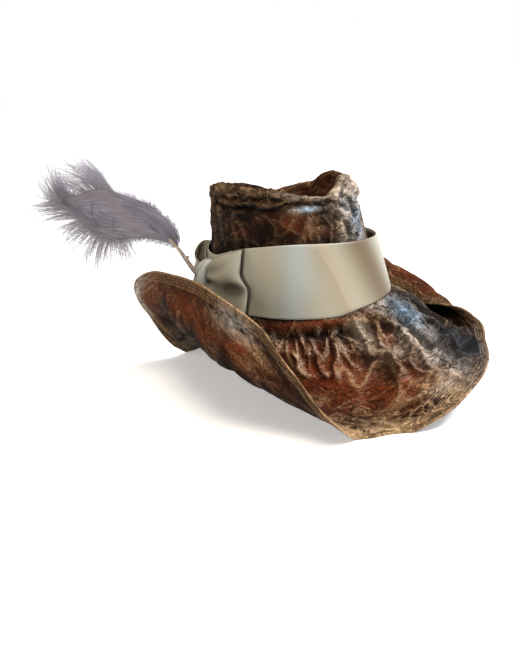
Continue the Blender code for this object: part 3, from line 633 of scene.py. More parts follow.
# %% Lay the crown's folds
# Rows: rise, half width, line of (angle, height in metres)
CROWN_FOLDS = [
    (-0.0038, 0.0030, ((128, 0.108), (112, 0.1045), (96, 0.1035), (84, 0.1050), (70, 0.1020), (58, 0.1035),
                       (48, 0.1060), (36, 0.1045), (24, 0.1010), (16, 0.1020))),
    (-0.0022, 0.0022, ((122, 0.114), (106, 0.1125), (90, 0.1150), (76, 0.1130), (62, 0.1125), (50, 0.1110))),
    (0.0018, 0.0024, ((116, 0.118), (98, 0.1185), (84, 0.1200), (70, 0.1180), (56, 0.1155), (44, 0.1120))),
    (0.0020, 0.0026, ((120, 0.1100), (100, 0.1080), (80, 0.1090), (64, 0.1070), (52, 0.1085), (38, 0.1085))),
    (0.0014, 0.0028, ((60, 0.092), (51, 0.083), (45, 0.078), (40, 0.070))),
    (0.0012, 0.0028, ((93, 0.090), (88, 0.080), (80, 0.072), (74, 0.066))),
    (0.0014, 0.0028, ((23, 0.089), (17, 0.079), (20, 0.075), (19, 0.066))),
    (0.0012, 0.0028, ((35, 0.096), (36, 0.078), (34, 0.068))),
    (0.0020, 0.0040, ((70, 0.108), (40, 0.099), (26, 0.096), (16, 0.100))),
    (-0.0030, 0.0034, ((19, 0.106), (10, 0.098), (2, 0.094))),
    (-0.0030, 0.0034, ((14, 0.090), (6, 0.080), (3, 0.068))),
    (-0.0026, 0.0034, ((5, 0.108), (358, 0.098), (356, 0.086), (350, 0.076))),
    (0.0028, 0.0045, ((12, 0.100), (8, 0.088), (12, 0.074))),
    (0.0026, 0.0045, ((0, 0.104), (352, 0.090), (354, 0.070))),
    (0.0024, 0.0050, ((112, 0.070), (118, 0.104))),
    (0.0026, 0.0055, ((205, 0.068), (196, 0.098))),
    (-0.0026, 0.0055, ((262, 0.072), (270, 0.102))),
    (-0.0028, 0.0050, ((318, 0.072), (326, 0.102))),
]
for angle in np.arange(134, 340, 13.0):
    bends = angle + np.cumsum(random.uniform(-6, 6, 4))
    lows = random.uniform(0.066, 0.080) + np.cumsum(random.uniform(0.003, 0.011, 4))
    rise, half_width = random.uniform(0.0010, 0.0022), random.uniform(0.0028, 0.0045)
    CROWN_FOLDS.append((rise, half_width, tuple(zip(bends.tolist(), lows.tolist()))))
print("crown folds:", len(CROWN_FOLDS))

# %% [markdown]
# Few rows describe the crown, so a smooth curve is drawn through them. A Catmull-Rom curve goes through
# every one of its points, which keeps the measured heights. Its points are then spaced evenly along the
# cloth, apart from the part that the band hides, where a few are enough.

# %% Draw the crown's columns
CROWN_COLUMNS, CROWN_ROWS, UNDER_BAND_ROWS = 430, 106, 9
# The row of the shape that lies at the band's top, and the one where the lip turns into the dent
BAND_TOP_ROW, DENT_ROW = 3, 8.5


def crown_profile(angles):
    """Heights and shares of the oval along each column, at the rows that describe the form."""
    rim = round_the_hat(RIM, 1, angles)[:, None]
    side = [row for row in SIDE if row[0] > FOOT_HEIGHT]
    foot_share = np.interp(FOOT_HEIGHT, [row[0] for row in SIDE], [row[1] for row in SIDE])
    heights = np.array([[FOOT_HEIGHT] + [row[0] for row in side]] * len(angles))
    shares = [foot_share] + [row[1] for row in side] + [row[1] for row in LIP] + [row[0] for row in DENT]
    lip = rim - np.array([row[0] for row in LIP])
    dent = lip[:, -1:] + (DENT_FLOOR - lip[:, -1:]) * np.array([row[1] for row in DENT])
    return np.concatenate([heights, lip, dent], axis=1), np.array(shares)


def spline(values, at):
    """Catmull-Rom curves along the last axis, read at row positions."""
    padded = np.concatenate([2 * values[..., :1] - values[..., 1:2], values,
                             2 * values[..., -1:] - values[..., -2:-1]], axis=-1)
    i = np.clip(at.astype(int), 0, values.shape[-1] - 2)
    t = at - i
    a, b, c, d = (padded[..., i + k] for k in range(4))
    bend, twist = 2 * a - 5 * b + 4 * c - d, 3 * b - a - 3 * c + d
    return 0.5 * (2 * b + (c - a) * t + bend * t ** 2 + twist * t ** 3)


def crown_rows(heights, radii):
    """Row positions spaced evenly along the cloth, with only a few of them under the band."""
    lengths = np.hypot(np.diff(heights), np.diff(radii))
    run = np.concatenate([[0], np.cumsum(lengths)])
    band_end = run[BAND_TOP_ROW]
    free_part = np.linspace(band_end, run[-1], CROWN_ROWS - UNDER_BAND_ROWS)
    at = np.concatenate([np.linspace(0, band_end, UNDER_BAND_ROWS + 1)[:-1], free_part])
    return np.interp(at, run, np.arange(len(run)))


columns = -np.arange(CROWN_COLUMNS) * 360 / CROWN_COLUMNS
form_heights, form_shares = crown_profile(columns)
crown_row = crown_rows(form_heights.mean(axis=0), form_shares * (CROWN_LENGTH + CROWN_WIDTH) / 4)
crown_height = spline(form_heights, crown_row)
crown_share = np.repeat(spline(form_shares, crown_row)[None], CROWN_COLUMNS, axis=0)
crown_at = np.repeat(columns[:, None], len(crown_row), axis=1)
crown_radius = oval(crown_at) * crown_share
inside = smooth((crown_row - DENT_ROW) / 2)[None, :]
outside = 1 - inside
print("points on the crown:", crown_radius.size)

# %% [markdown]
# The crown is creased like the brim, but lower, because it was pulled tight over its block. Crumples cover
# it, and ripples run round the soft lip. Nothing stands up under the band, which lies flat on the real one
# too.

# %% Crease the crown's cloth
LEAST_CROWN_RADIUS = 0.02
run_out, run_up = np.gradient(crown_radius, axis=1), np.gradient(crown_height, axis=1)
row_length = np.hypot(run_out, run_up)
round_radius = np.maximum(crown_radius, LEAST_CROWN_RADIUS)
along_cloth = np.cumsum(row_length, axis=1)
crown_cloth = np.concatenate([outward(crown_at) * round_radius[..., None], along_cloth[..., None]], axis=-1)
crumple = ridges(crown_cloth, EVEN, 0.026, 4)
ripples = ridges(crown_cloth, ALONG_RIM, 0.014, 5)
folds, fold_crest = fold_lines(
    CROWN_FOLDS, crown_at, crown_height, round_radius, np.ones(1), wander(crown_cloth))
on_lip = smooth((crown_height - 0.096) / 0.010)
free = np.clip(smooth((crown_height - 0.055) / 0.012) + inside, 0, 1) * smooth((crown_share - 0.02) / 0.15)
small = 0.0012 * (crumple - MEAN_CREASE) + 0.0010 * (ripples - MEAN_CREASE) * (0.3 + 0.7 * on_lip)
crown_lift = (folds * outside + small + 0.0008 * swell(crown_cloth, 0.024, 5)) * free
# Painted highlight and painted shade on the tipped faces of the crown's folds
face_light_and_shade = tilt(crown_lift, crown_at, round_radius) * outside
deepest, highest = (round(1000 * float(end), 1) for end in (crown_lift.min(), crown_lift.max()))
print("relief of the crown, mm:", deepest, "to", highest)

# %% [markdown]
# The crown's patches are laid in as the brim's were, now by angle and height. The real one is nearly black
# on its left, which is dark pile and painted shade, rust in the middle of its front, and pale along the lip
# and down the side that faces the window, where that light is painted in as a sheen and a cool light.

# %% Lay the crown's patches
# Rows: angle, height, half spreads, strength
# Pile brushed flat, with a painted sheen on it
CROWN_SHEEN_AND_FLAT_PILE = (
    (352, 0.119, 15, 0.011, 1.00), (10, 0.110, 7, 0.010, 0.95), (338, 0.100, 8, 0.020, 0.60),
    (352, 0.092, 11, 0.045, 0.85), (3, 0.103, 9, 0.022, 1.00), (8, 0.080, 5, 0.020, 0.70),
    (34, 0.0995, 10, 0.0034, 1.00), (27, 0.1110, 13, 0.0035, 0.90), (50, 0.1165, 12, 0.0025, 0.45),
    (330, 0.085, 14, 0.020, 0.60), (300, 0.104, 16, 0.012, 0.45), (210, 0.090, 14, 0.014, 0.45),
    (170, 0.112, 18, 0.010, 0.40), (252, 0.080, 10, 0.014, 0.40),
)
# A painted cool light on the side towards the window
CROWN_PAINTED_COOL_LIGHT = (
    (352, 0.080, 10, 0.025, 0.80), (5, 0.098, 6, 0.012, 0.50), (34, 0.0995, 10, 0.0034, 1.00),
    (252, 0.080, 10, 0.014, 0.60),
)
# Dark pile, partly painted shade
CROWN_DARK_PILE_AND_SHADE = (
    (120, 0.088, 22, 0.018, 0.95), (80, 0.096, 22, 0.010, 0.80), (100, 0.068, 24, 0.008, 0.90),
    (58, 0.073, 14, 0.008, 0.55), (18, 0.098, 6, 0.006, 0.60), (60, 0.101, 20, 0.003, 0.70),
    (230, 0.070, 20, 0.008, 0.60),
)
CROWN_RUST = (
    (46, 0.088, 12, 0.011, 0.60), (36, 0.078, 10, 0.008, 0.50), (66, 0.095, 12, 0.008, 0.30),
    (90, 0.080, 12, 0.008, 0.30), (108, 0.112, 18, 0.005, 0.35), (190, 0.080, 20, 0.018, 0.60),
    (280, 0.092, 18, 0.016, 0.60), (232, 0.086, 12, 0.010, 0.50), (150, 0.080, 14, 0.010, 0.40),
)
CROWN_GOLD = (
    (116, 0.1230, 20, 0.0040, 0.90), (92, 0.1150, 22, 0.0060, 0.60), (64, 0.1150, 14, 0.0050, 0.60),
    (52, 0.090, 12, 0.004, 0.30), (150, 0.118, 24, 0.006, 0.60), (240, 0.100, 24, 0.006, 0.50),
    (290, 0.116, 26, 0.006, 0.60), (28, 0.084, 8, 0.006, 0.45),
)
# Pale crest lines, where the pile is worn and a highlight is painted
crests = np.maximum(0.35 * crumple ** 3, 0.7 * ripples ** 2 * on_lip)
# The depth of the hollows, which get painted shade
sunk = np.maximum(-crown_lift, 0) / FULL_RELIEF
CROWN_PATCHES = {"sheen_and_flat_pile": CROWN_SHEEN_AND_FLAT_PILE, "painted_cool_light": CROWN_PAINTED_COOL_LIGHT, "dark_pile_and_shade": CROWN_DARK_PILE_AND_SHADE, "rust": CROWN_RUST,
                 "gold": CROWN_GOLD}
on_crown = {label: patches(rows, crown_at, crown_height) for label, rows in CROWN_PATCHES.items()}
# As on the brim: worn and painted lit crests, painted shade in the hollows, a painted sheen on flat pile, a
# painted cool light towards the window, and dark pile with painted shade
crown_fields = {
    "crest": np.clip(np.maximum(crests, 0.25 * fold_crest * outside), 0, 1) * free,
    "painted_hollow_shade": np.clip(sunk + 0.35 * np.maximum(-face_light_and_shade, 0), 0, 1),
    "sheen_and_flat_pile": np.maximum(on_crown["sheen_and_flat_pile"] * outside, 0.10 * np.maximum(face_light_and_shade, 0)),
    "painted_cool_light": on_crown["painted_cool_light"] * outside,
    "dark_pile_and_shade": np.maximum(on_crown["dark_pile_and_shade"] * outside, 0.35 * inside),
    "rust": np.maximum(on_crown["rust"] * outside, 0.45 * inside),
    "gold": on_crown["gold"] * (0.3 + 0.7 * outside),
    "stitch": np.zeros(crown_radius.shape),
}
print("patches on the crown:", {label: len(rows) for label, rows in CROWN_PATCHES.items()})

# %% [markdown]
# The crown's outer face is made first: a ring of columns that meet at one point in the dent. A Solidify
# modifier then gives the cloth its thickness inwards. The whole crown leans back a little over its foot.

# %% Make the crown's skin
def capped_skin(name, grid, pole, fields, cloth):
    """A piece from columns that close into a ring and meet at a pole."""
    count = grid[..., 0].size
    index = np.arange(count).reshape(grid.shape[:2])
    there = np.roll(index, -1, axis=0)
    faces = np.stack([index[:, :-1], there[:, :-1], there[:, 1:], index[:, 1:]], axis=-1)
    faces = faces.reshape(-1, 4).tolist()
    faces += [(a, b, count) for a, b in zip(index[:, -1].tolist(), there[:, -1].tolist())]
    fields = {label: np.append(values.reshape(-1), values[:, -1].mean()) for label, values in fields.items()}
    points = np.concatenate([grid.reshape(-1, 3), pole[None]])
    return piece_from(name, points, faces, fields, np.append(cloth.reshape(-1), cloth[:, -1].mean(axis=0)))


crown_skin = place(crown_at, crown_radius + run_up / row_length * crown_lift,
                   crown_height - run_out / row_length * crown_lift)
lean = np.clip((crown_height - FOOT_HEIGHT - COLLAR_HEIGHT) / 0.045, 0, 1)
crown_skin[..., :2] += outward(CROWN_LEAN_ANGLE) * CROWN_LEAN * lean[..., None]
crown = capped_skin("crown_velvet", crown_skin, crown_skin[:, -1].mean(axis=0), crown_fields, crown_cloth)
cloth_wall = crown.modifiers.new("cloth_wall", "SOLIDIFY")
cloth_wall.thickness = CROWN_CLOTH
cloth_wall.offset = -1
print("crown faces, one side:", len(crown.data.polygons))

# %% [markdown]
# The band is a ribbon of satin, 64 mm wide, drawn round the crown and joined under the bow. It rests on the
# brim and stands off the crown at its top, because the crown tapers and the ribbon does not. A straight
# strip bent round a taper makes a cone, so its foot is found on the brim first.

# %% Find the band's cone
BAND_FOOT_SHARE, BAND_TOP_SHARE = 1.045, 0.925
# Rows: angle, height of the band's top edge
BAND_TOP = (
    (0, 0.0622), (50, 0.0680), (75, 0.0660), (90, 0.0635), (105, 0.0580), (122, 0.0530), (142, 0.0535),
    (162, 0.0580), (185, 0.0610), (260, 0.0595), (320, 0.0590),
)
# How many steps of the brim's section the band can stand on
FOOT_STEPS = BEND_STEPS + 40


def band_foot(angles):
    """The height where the band meets the brim's upper face."""
    radii, heights, slopes = (table[:, :FOOT_STEPS] for table in brim_sections(angles))
    top_radii, top_heights = radii - np.sin(slopes) * BRIM_CLOTH, heights + np.cos(slopes) * BRIM_CLOTH
    wanted = oval(angles) * BAND_FOOT_SHARE
    found = [np.interp(r, row_r, row_h) for r, row_r, row_h in zip(wanted, top_radii, top_heights)]
    return np.array(found) + SOFT_GAP


FOOT_ANGLES = np.linspace(0, 360, 361)
FOOT_HEIGHTS = band_foot(FOOT_ANGLES)


def on_band(angles, shares, stand_off):
    """Points at a share of the band's height, standing off its outer face."""
    oval_share = BAND_FOOT_SHARE + (BAND_TOP_SHARE - BAND_FOOT_SHARE) * shares
    foot = np.interp(np.mod(angles, 360), FOOT_ANGLES, FOOT_HEIGHTS)
    top = round_the_hat(BAND_TOP, 1, angles)
    return place(angles, oval(angles) * oval_share + RIBBON_CLOTH + stand_off, foot + (top - foot) * shares)


lowest, highest = (round(1000 * float(end), 1) for end in (FOOT_HEIGHTS.min(), FOOT_HEIGHTS.max()))
print("the band's foot over the base, mm:", lowest, "to", highest)

# %% [markdown]
# Satin changes with the light: one part of the band looks greenish grey, another warm, and the end by the
# window tan. The light alone gives too little of it, so these reflections are painted in as slanting stripes
# that stay on the ribbon. The bow lies over the band, and the shadow of its wavy folded edge is painted on
# it as a fine dark line.

# %% Lay the band's painted reflections
# Rows: angle at its foot, angle at its top, half spread, strength
# Painted reflections of the lamps on the satin
BAND_PAINTED_REFLECTIONS = {
    "painted_cool_light": ((54, 46, 10, 1.00), (150, 160, 30, 0.60), (290, 280, 25, 0.50)),
    "painted_warm_highlight": ((22, 33, 8, 0.75), (205, 215, 8, 0.50), (315, 322, 8, 0.50)),
    "painted_tan_reflection": ((352, 366, 17, 1.00), (240, 240, 26, 0.60)),
}
KNOT_ANGLE, LOOP_FOLD = 126.0, 42.4
# How far the loops' folded edge wanders, in degrees, from its foot to its top
EDGE_WAVE = (0.7, 2.1, 2.3, -2.9, -2.6, -1.4)


def edge_wave(across):
    """The wander of a loop's folded edge at a share of the ribbon's width."""
    return spline(np.array(EDGE_WAVE), across * (len(EDGE_WAVE) - 1))


def band_reflection(rows, angles, shares):
    """The strongest of the slanting bands of one painted reflection at each place."""
    value = np.zeros(angles.shape)
    for foot_angle, top_angle, half_spread, strength in rows:
        middle = foot_angle + (top_angle - foot_angle) * shares
        value = np.maximum(value, strength * np.exp(-(turn_between(angles, middle) / half_spread) ** 2))
    return value


print("folded edge of the near loop, degrees:", round(KNOT_ANGLE - LOOP_FOLD, 1))

# %% [markdown]
# The ribbon is one closed skin with a front, a back and two thin edges. Both edges are selvedges, where the
# woven threads turn back, so a low ridge runs beside each. The waves are where the ribbon is not quite
# drawn tight.

# %% Make the band
BAND_COLUMNS, BAND_FRONT_ROWS, BAND_BACK_ROWS, BAND_HEIGHT = 540, 40, 12, 0.062
# Rows: rise, half width, line of (angle, share of its height)
BAND_WAVES = (
    (0.0007, 0.012, ((38, 1.10), (26, 0.55), (20, -0.10))),
    (-0.0005, 0.012, ((58, 1.10), (64, -0.10))),
    (-0.0012, 0.008, ((82, 0.75), (80, 0.20))),
    (0.0006, 0.015, ((150, 1.10), (160, -0.10))),
    (-0.0005, 0.015, ((215, 1.10), (205, -0.10))),
    (0.0006, 0.015, ((275, 1.10), (262, -0.10))),
    (0.0005, 0.012, ((330, 1.10), (338, -0.10))),
)
SELVEDGE, SELVEDGE_RIDGE, SELVEDGE_HALF_WIDTH = 0.0026, 0.00022, 0.0006
# The shadow beside the bow's folded edge, in degrees: where it starts, how soon it fades, how far it reaches
SHADOW_START, SHADOW_FADE, SHADOW_REACH = 0.2, 0.9, 12


def make_band():
    """The satin band, with its painted reflections and painted shadow stored in it."""
    angles = np.arange(BAND_COLUMNS) * 360 / BAND_COLUMNS
    run = np.concatenate([np.linspace(1, 0, BAND_FRONT_ROWS), np.linspace(0, 1, BAND_BACK_ROWS)])
    shares = run[None, :] + np.zeros((BAND_COLUMNS, 1))
    grid_angles = np.repeat(angles[:, None], len(run), axis=1)
    depth = np.concatenate([np.zeros(BAND_FRONT_ROWS), np.full(BAND_BACK_ROWS, -RIBBON_CLOTH)])[None, :]
    lift, _ = fold_lines(BAND_WAVES, grid_angles, shares, oval(grid_angles), BAND_HEIGHT)
    edge = np.minimum(shares, 1 - shares) * BAND_HEIGHT
    ridge = SELVEDGE_RIDGE * np.exp(-((edge - SELVEDGE) / SELVEDGE_HALF_WIDTH) ** 2) * (depth == 0)
    grid = on_band(grid_angles, shares, depth + lift * smooth(edge / 0.004) + ridge)
    fields = {label: band_reflection(rows, grid_angles, shares) for label, rows in BAND_PAINTED_REFLECTIONS.items()}
    beside = turn_between(grid_angles, KNOT_ANGLE - LOOP_FOLD - edge_wave(shares) - SHADOW_START)
    shadow = np.where(beside > 0, 1, np.exp(-(beside / SHADOW_FADE) ** 2)) * (np.abs(beside) < SHADOW_REACH)
    # The painted shadow of the bow's folded edge on the band
    fields["fold"] = 0.8 * shadow
    fields = {label: values[:, ::-1] for label, values in fields.items()}
    return closed_skin("ribbon_band_satin", grid[:, ::-1], fields)


band = make_band()
print("band faces:", len(band.data.polygons))

# %% [markdown]
# The bow is the ribbon's end folded into two flat loops and wrapped once with the same ribbon. Cloth
# simulation could fold a ribbon, but it would settle differently in each run. So each loop is a flattened
# sleeve whose path is given: it leaves the knot close to the band, folds over, and comes back on the
# outside.

# %% Fold the loops of the bow
# Rows: turn from the knot in degrees, distance off the band, lowest and highest share of the band's height
LOOP = (
    (4.8, 0.0005, 0.26, 0.80), (14.0, 0.0009, 0.14, 0.90), (26.0, 0.0010, 0.06, 0.97),
    (38.0, 0.0010, 0.02, 0.99), (42.4, 0.0050, 0.01, 0.99), (39.6, 0.0096, 0.02, 0.98),
    (28.0, 0.0116, 0.06, 0.95), (17.0, 0.0104, 0.13, 0.89), (4.8, 0.0052, 0.28, 0.78),
)
LOOP_LENGTH_STEPS, LOOP_ACROSS = 120, 44


def sleeve_faces(rows, count):
    """Faces of a flattened sleeve, with the points of each row running round it and both ends sewn flat."""
    index = np.arange(rows * count).reshape(rows, count)
    along = np.roll(index, -1, axis=1)
    faces = np.stack([index[:-1], index[1:], along[1:], along[:-1]], axis=-1).reshape(-1, 4).tolist()
    for end in (index[0].tolist(), index[-1].tolist()):
        faces += [(end[k], end[k + 1], end[-2 - k], end[-1 - k]) for k in range(count // 2 - 1)]
    return faces


def turn_faces_out(mesh):
    """Makes every face of a closed skin look outwards, and shades it smooth."""
    bm = bmesh.new()
    bm.from_mesh(mesh)
    bmesh.ops.recalc_face_normals(bm, faces=bm.faces)
    bm.to_mesh(mesh)
    bm.free()
    mesh.shade_smooth()


loop_step = np.linspace(0, len(LOOP) - 1, LOOP_LENGTH_STEPS)
loop_turn, loop_off, loop_low, loop_high = (spline(row, loop_step)[:, None] for row in np.array(LOOP).T)
loop_start = LOOP[0][0]
print("a loop reaches, degrees:", round(float(loop_turn.max() - loop_start), 1))

# %% [markdown]
# A real loop is pleated where the knot pinches it and open at its fold, so the pleats fade away from the
# knot. Two soft dents and a swelling lie on the outer layer, as the photograph shows, and the folded edge
# wanders.

# %% Make the bow's loops
across_loop = np.linspace(0, 1, LOOP_ACROSS)[None, :]
gather = np.clip((LOOP_FOLD - loop_turn) / (LOOP_FOLD - loop_start), 0, 1)
outer_layer = smooth(loop_step - 3.6)[:, None]
# Dents and a swelling. Rows: rise, then centre and half width along the loop, then the same across it
HOLLOWS = ((-0.0038, 0.20, 0.24, 0.42, 0.13), (-0.0024, 0.75, 0.25, 0.50, 0.09))
SWELLING = (0.0018, 0.10, 0.14, 0.74, 0.20)


def dent(rise, place_along, half_along, place_across, half_across):
    """A soft dent or swelling in the loop's outer layer."""
    away = ((gather - place_along) / half_along) ** 2 + ((across_loop - place_across) / half_across) ** 2
    return rise * np.exp(-away) * outer_layer


pleats = 0.0012 * gather * (1 - np.cos(2 * np.pi * 2.5 * across_loop))
slant = 1.6 * across_loop + 0.15 + 0.8 * gather
pleats += 0.0010 * gather ** 0.5 * outer_layer * np.sin(2 * np.pi * slant)
pinch = sum(dent(*row) for row in HOLLOWS)
loop_relief = np.maximum(loop_off + pleats + pinch + dent(*SWELLING), 0.0004)
# Painted shade in the pleats' valleys, and more of it towards the knot
valley = np.clip(-(pleats - 0.0008 * gather + pinch) / 0.0026, 0, 1) * outer_layer
loop_shade = np.clip(0.75 * valley + 0.35 * smooth((gather - 0.75) / 0.25), 0, 1)


def make_loop(name, side, reach):
    """One loop of the bow, on one side of the knot."""
    wave = edge_wave(across_loop) * np.exp(-(gather / 0.40) ** 2)
    angles = KNOT_ANGLE + side * (loop_start + (loop_turn + wave - loop_start) * reach)
    cloth_face = on_band(angles, loop_low + (loop_high - loop_low) * across_loop, loop_relief)
    normal = np.cross(np.gradient(cloth_face, axis=0), np.gradient(cloth_face, axis=1))
    normal /= np.linalg.norm(normal, axis=-1, keepdims=True)
    cloth_back = cloth_face + normal * RIBBON_CLOTH * side
    grid = np.concatenate([cloth_face, cloth_back[:, ::-1]], axis=1)
    # The loop's painted shade
    fields = {"fold": np.concatenate([loop_shade, loop_shade[:, ::-1]], axis=1)}
    loop = piece_from(name, grid, sleeve_faces(*grid.shape[:2]), fields)
    turn_faces_out(loop.data)
    return loop


loops = [make_loop("bow_loop_near_satin", -1, 1.0), make_loop("bow_loop_far_satin", 1, 0.85)]
print("faces in each loop:", [len(loop.data.polygons) for loop in loops])

# %% [markdown]
# The knot is the same ribbon wrapped once round the middle of the bow, so it is drawn tight and its folds
# run along it. It is a tube that swells in its middle, flat where it lies on the band, with one deeper line
# where the wrap laps over itself. It catches the window and looks silver, so that sheen is painted all over
# it, with painted shade in its folds.

# %% Make the bow's knot
# Rows: share of the band's height, half width in degrees, distance off the band
KNOT = (
    (0.10, 2.6, 0.0060), (0.18, 3.8, 0.0110), (0.38, 4.4, 0.0145), (0.60, 4.4, 0.0145), (0.80, 3.9, 0.0120),
    (0.90, 2.6, 0.0065),
)
KNOT_RINGS, KNOT_SIDES = 60, 80


def tube_faces(rings, sides):
    """Faces of a tube of rings of points, with a flat cap at both ends."""
    index = np.arange(rings * sides).reshape(rings, sides)
    along = np.roll(index, -1, axis=1)
    faces = np.stack([index[:-1], along[:-1], along[1:], index[1:]], axis=-1).reshape(-1, 4).tolist()
    return faces + [index[0].tolist()[::-1], index[-1].tolist()]


def make_knot():
    """The wrap in the middle of the bow."""
    at = np.linspace(0, len(KNOT) - 1, KNOT_RINGS)
    share, half, stand_off = (spline(row, at)[:, None] for row in np.array(KNOT).T)
    a = np.linspace(0, 2 * np.pi, KNOT_SIDES, endpoint=False)[None, :]
    out = np.maximum(0, np.sin(a)) ** 0.7
    folds = 0.0007 * np.sin(5.0 * a + 6.0 * share) * out + 0.0005 * np.sin(11 * a - 9.0 * share) * out
    lap = -0.0012 * np.exp(-((a - 1.9 + 0.9 * (share - 0.5)) / 0.10) ** 2) * out
    grid = on_band(KNOT_ANGLE - half * np.cos(a), share + 0 * a, 2 * GAP + (stand_off + folds + lap) * out)
    # Painted shade in the knot's folds and where the wrap laps over
    knot_shade = np.clip(-(folds + lap) / 0.0012, 0, 1)
    # A painted sheen of the window all over the knot
    fields = {"painted_silver_sheen": np.full(knot_shade.shape, 1.0), "fold": 0.8 * knot_shade}
    knot = piece_from("bow_knot_satin", grid, tube_faces(KNOT_RINGS, KNOT_SIDES), fields)
    turn_faces_out(knot.data)
    return knot


knot = make_knot()
print("knot height, mm:", round(1000 * knot.dimensions.z))

# %% [markdown]
# The plume is one feather: a horn quill with hundreds of soft barbs. Particle hair would be the quick way,
# but it would be lost if the hat were exported. So its parts are meshes, laid out in the flat plane of the
# feather and then turned into the hat's frame. First comes the line of the quill, which rises from under
# the knot and bends.

# %% Follow the quill
FEATHER_TURN, FEATHER_STAND_OFF, ROOT_SHARE = 4.1, 0.0102, 0.030 / 0.068
HEADING = np.array([-0.30, 0.954, 0.0]) / math.hypot(0.30, 0.954)
ACROSS = np.cross(HEADING, (0.0, 0.0, 1.0))
# The quill's curve. Rows: level distance from the knot, height
QUILL = (
    (0.000, 0.030), (0.0115, 0.0475), (0.0245, 0.0650), (0.052, 0.087), (0.087, 0.101), (0.122, 0.106),
    (0.160, 0.109),
)
QUILL_ROOT = on_band(np.array(KNOT_ANGLE + FEATHER_TURN), np.array(ROOT_SHARE), np.array(FEATHER_STAND_OFF))
QUILL_LINE = spline(np.array(QUILL).T, np.linspace(0, len(QUILL) - 1, 241))
QUILL_RUN = np.concatenate([[0], np.cumsum(np.hypot(*np.diff(QUILL_LINE, axis=1)))])
QUILL_LENGTH = QUILL_RUN[-1]


def on_quill(share):
    """The place on the quill at a share of its length, as (level distance, height)."""
    run = np.asarray(share) * QUILL_LENGTH
    return np.stack([np.interp(run, QUILL_RUN, line) for line in QUILL_LINE], axis=-1)


def off_quill(share):
    """The unit vector that points up off the quill in the feather's plane."""
    ahead = on_quill(np.minimum(share + 0.02, 1)) - on_quill(np.maximum(share - 0.02, 0))
    ahead /= np.linalg.norm(ahead, axis=-1, keepdims=True)
    return np.stack([-ahead[..., 1], ahead[..., 0]], axis=-1)


def in_feather(flat, lift):
    """From the feather's plane, and a lift off it, to the hat's frame."""
    point = QUILL_ROOT + HEADING * flat[..., :1] + ACROSS * lift[..., None]
    point[..., 2] = BASE_HEIGHT + flat[..., 1]
    return point


print("quill length, mm:", round(1000 * QUILL_LENGTH))

# %% [markdown]
# Near the quill the barbs lie so close that they read as one soft leaf. It could be built of thousands of
# strips, but they would show as stripes. So the leaf is a thin closed skin, thickest along its middle, and
# its streaks are stored in it: pinkish where the barbs part, blue-grey where they lie in shade.

# %% Write down the leaf's shape
# Rows, in mm in the feather's plane: along and up at its upper edge, along and up at its lower edge
LEAF = (
    (18.2, 62.5, 20.4, 60.8), (19.6, 72.0, 25.5, 64.2), (22.0, 80.2, 32.0, 66.5), (27.2, 89.5, 42.0, 68.8),
    (36.8, 98.7, 53.0, 70.0), (45.7, 105.6, 64.6, 70.8), (60.3, 111.7, 77.0, 70.2),
    (75.2, 116.9, 89.0, 70.0), (88.3, 120.6, 100.0, 70.3), (101.3, 124.8, 111.0, 72.4),
    (115.4, 124.5, 121.0, 76.0), (127.6, 122.1, 129.5, 80.5), (140.0, 119.6, 137.5, 88.5),
    (150.0, 117.5, 146.0, 98.5), (156.3, 116.5, 153.0, 107.5), (160.0, 115.0, 159.0, 113.0),
)
# Rows: half width in mm, then the line of (along, up) that the streak follows
PINK_STREAKS = (
    (5.5, (96, 122), (92, 103), (80, 92), (62, 82)), (3.0, (150, 116), (128, 119), (104, 118)),
)
BLUE_STREAKS = (
    (4.0, (80, 108), (60, 99), (36, 84), (24, 68)), (2.0, (60, 92), (44, 80)),
    (3.0, (118, 84), (140, 100), (156, 112)),
)
DARK_STREAKS = (
    (0.9, (128, 101), (122, 98)), (0.9, (112, 101), (106, 97)), (0.8, (95, 93), (97, 86), (96.5, 79)),
    (0.9, (120, 110), (123, 96), (116, 84)), (0.7, (52, 84), (40, 76)),
)


def beside_lines(flat, lines):
    """One on any of the lines in the feather's plane, falling off to both sides."""
    value = np.zeros(flat.shape[:-1])
    for half_width, *path in lines:
        for start, end in zip(path, path[1:]):
            start, run = np.array(start) / 1000, (np.array(end) - np.array(start)) / 1000
            t = np.clip(((flat - start) @ run) / (run @ run), 0, 1)
            away = np.linalg.norm(flat - start - t[..., None] * run, axis=-1)
            value = np.maximum(value, np.exp(-(away / (half_width / 1000)) ** 2))
    return value


print("streaks:", len(PINK_STREAKS), "pink,", len(BLUE_STREAKS), "blue,", len(DARK_STREAKS), "dark")

# %% [markdown]
# The leaf's points run from its lower edge to its upper one at each step along the quill. It is cupped a
# little, as a vane is, and slow waves across the barbs make both its surface and its tone uneven.

# %% Shape the leaf of the plume
LEAF_STEPS, LEAF_ACROSS, LEAF_HALF_THICKNESS, LEAST_HALF_THICKNESS = 150, 56, 0.0021, 0.0001
LEAF_CUP, LEAF_WAVE = 0.0030, 0.0005
# How often the tone changes along the leaf and across it
WAVES_ALONG, WAVES_ACROSS = 0.6, 34


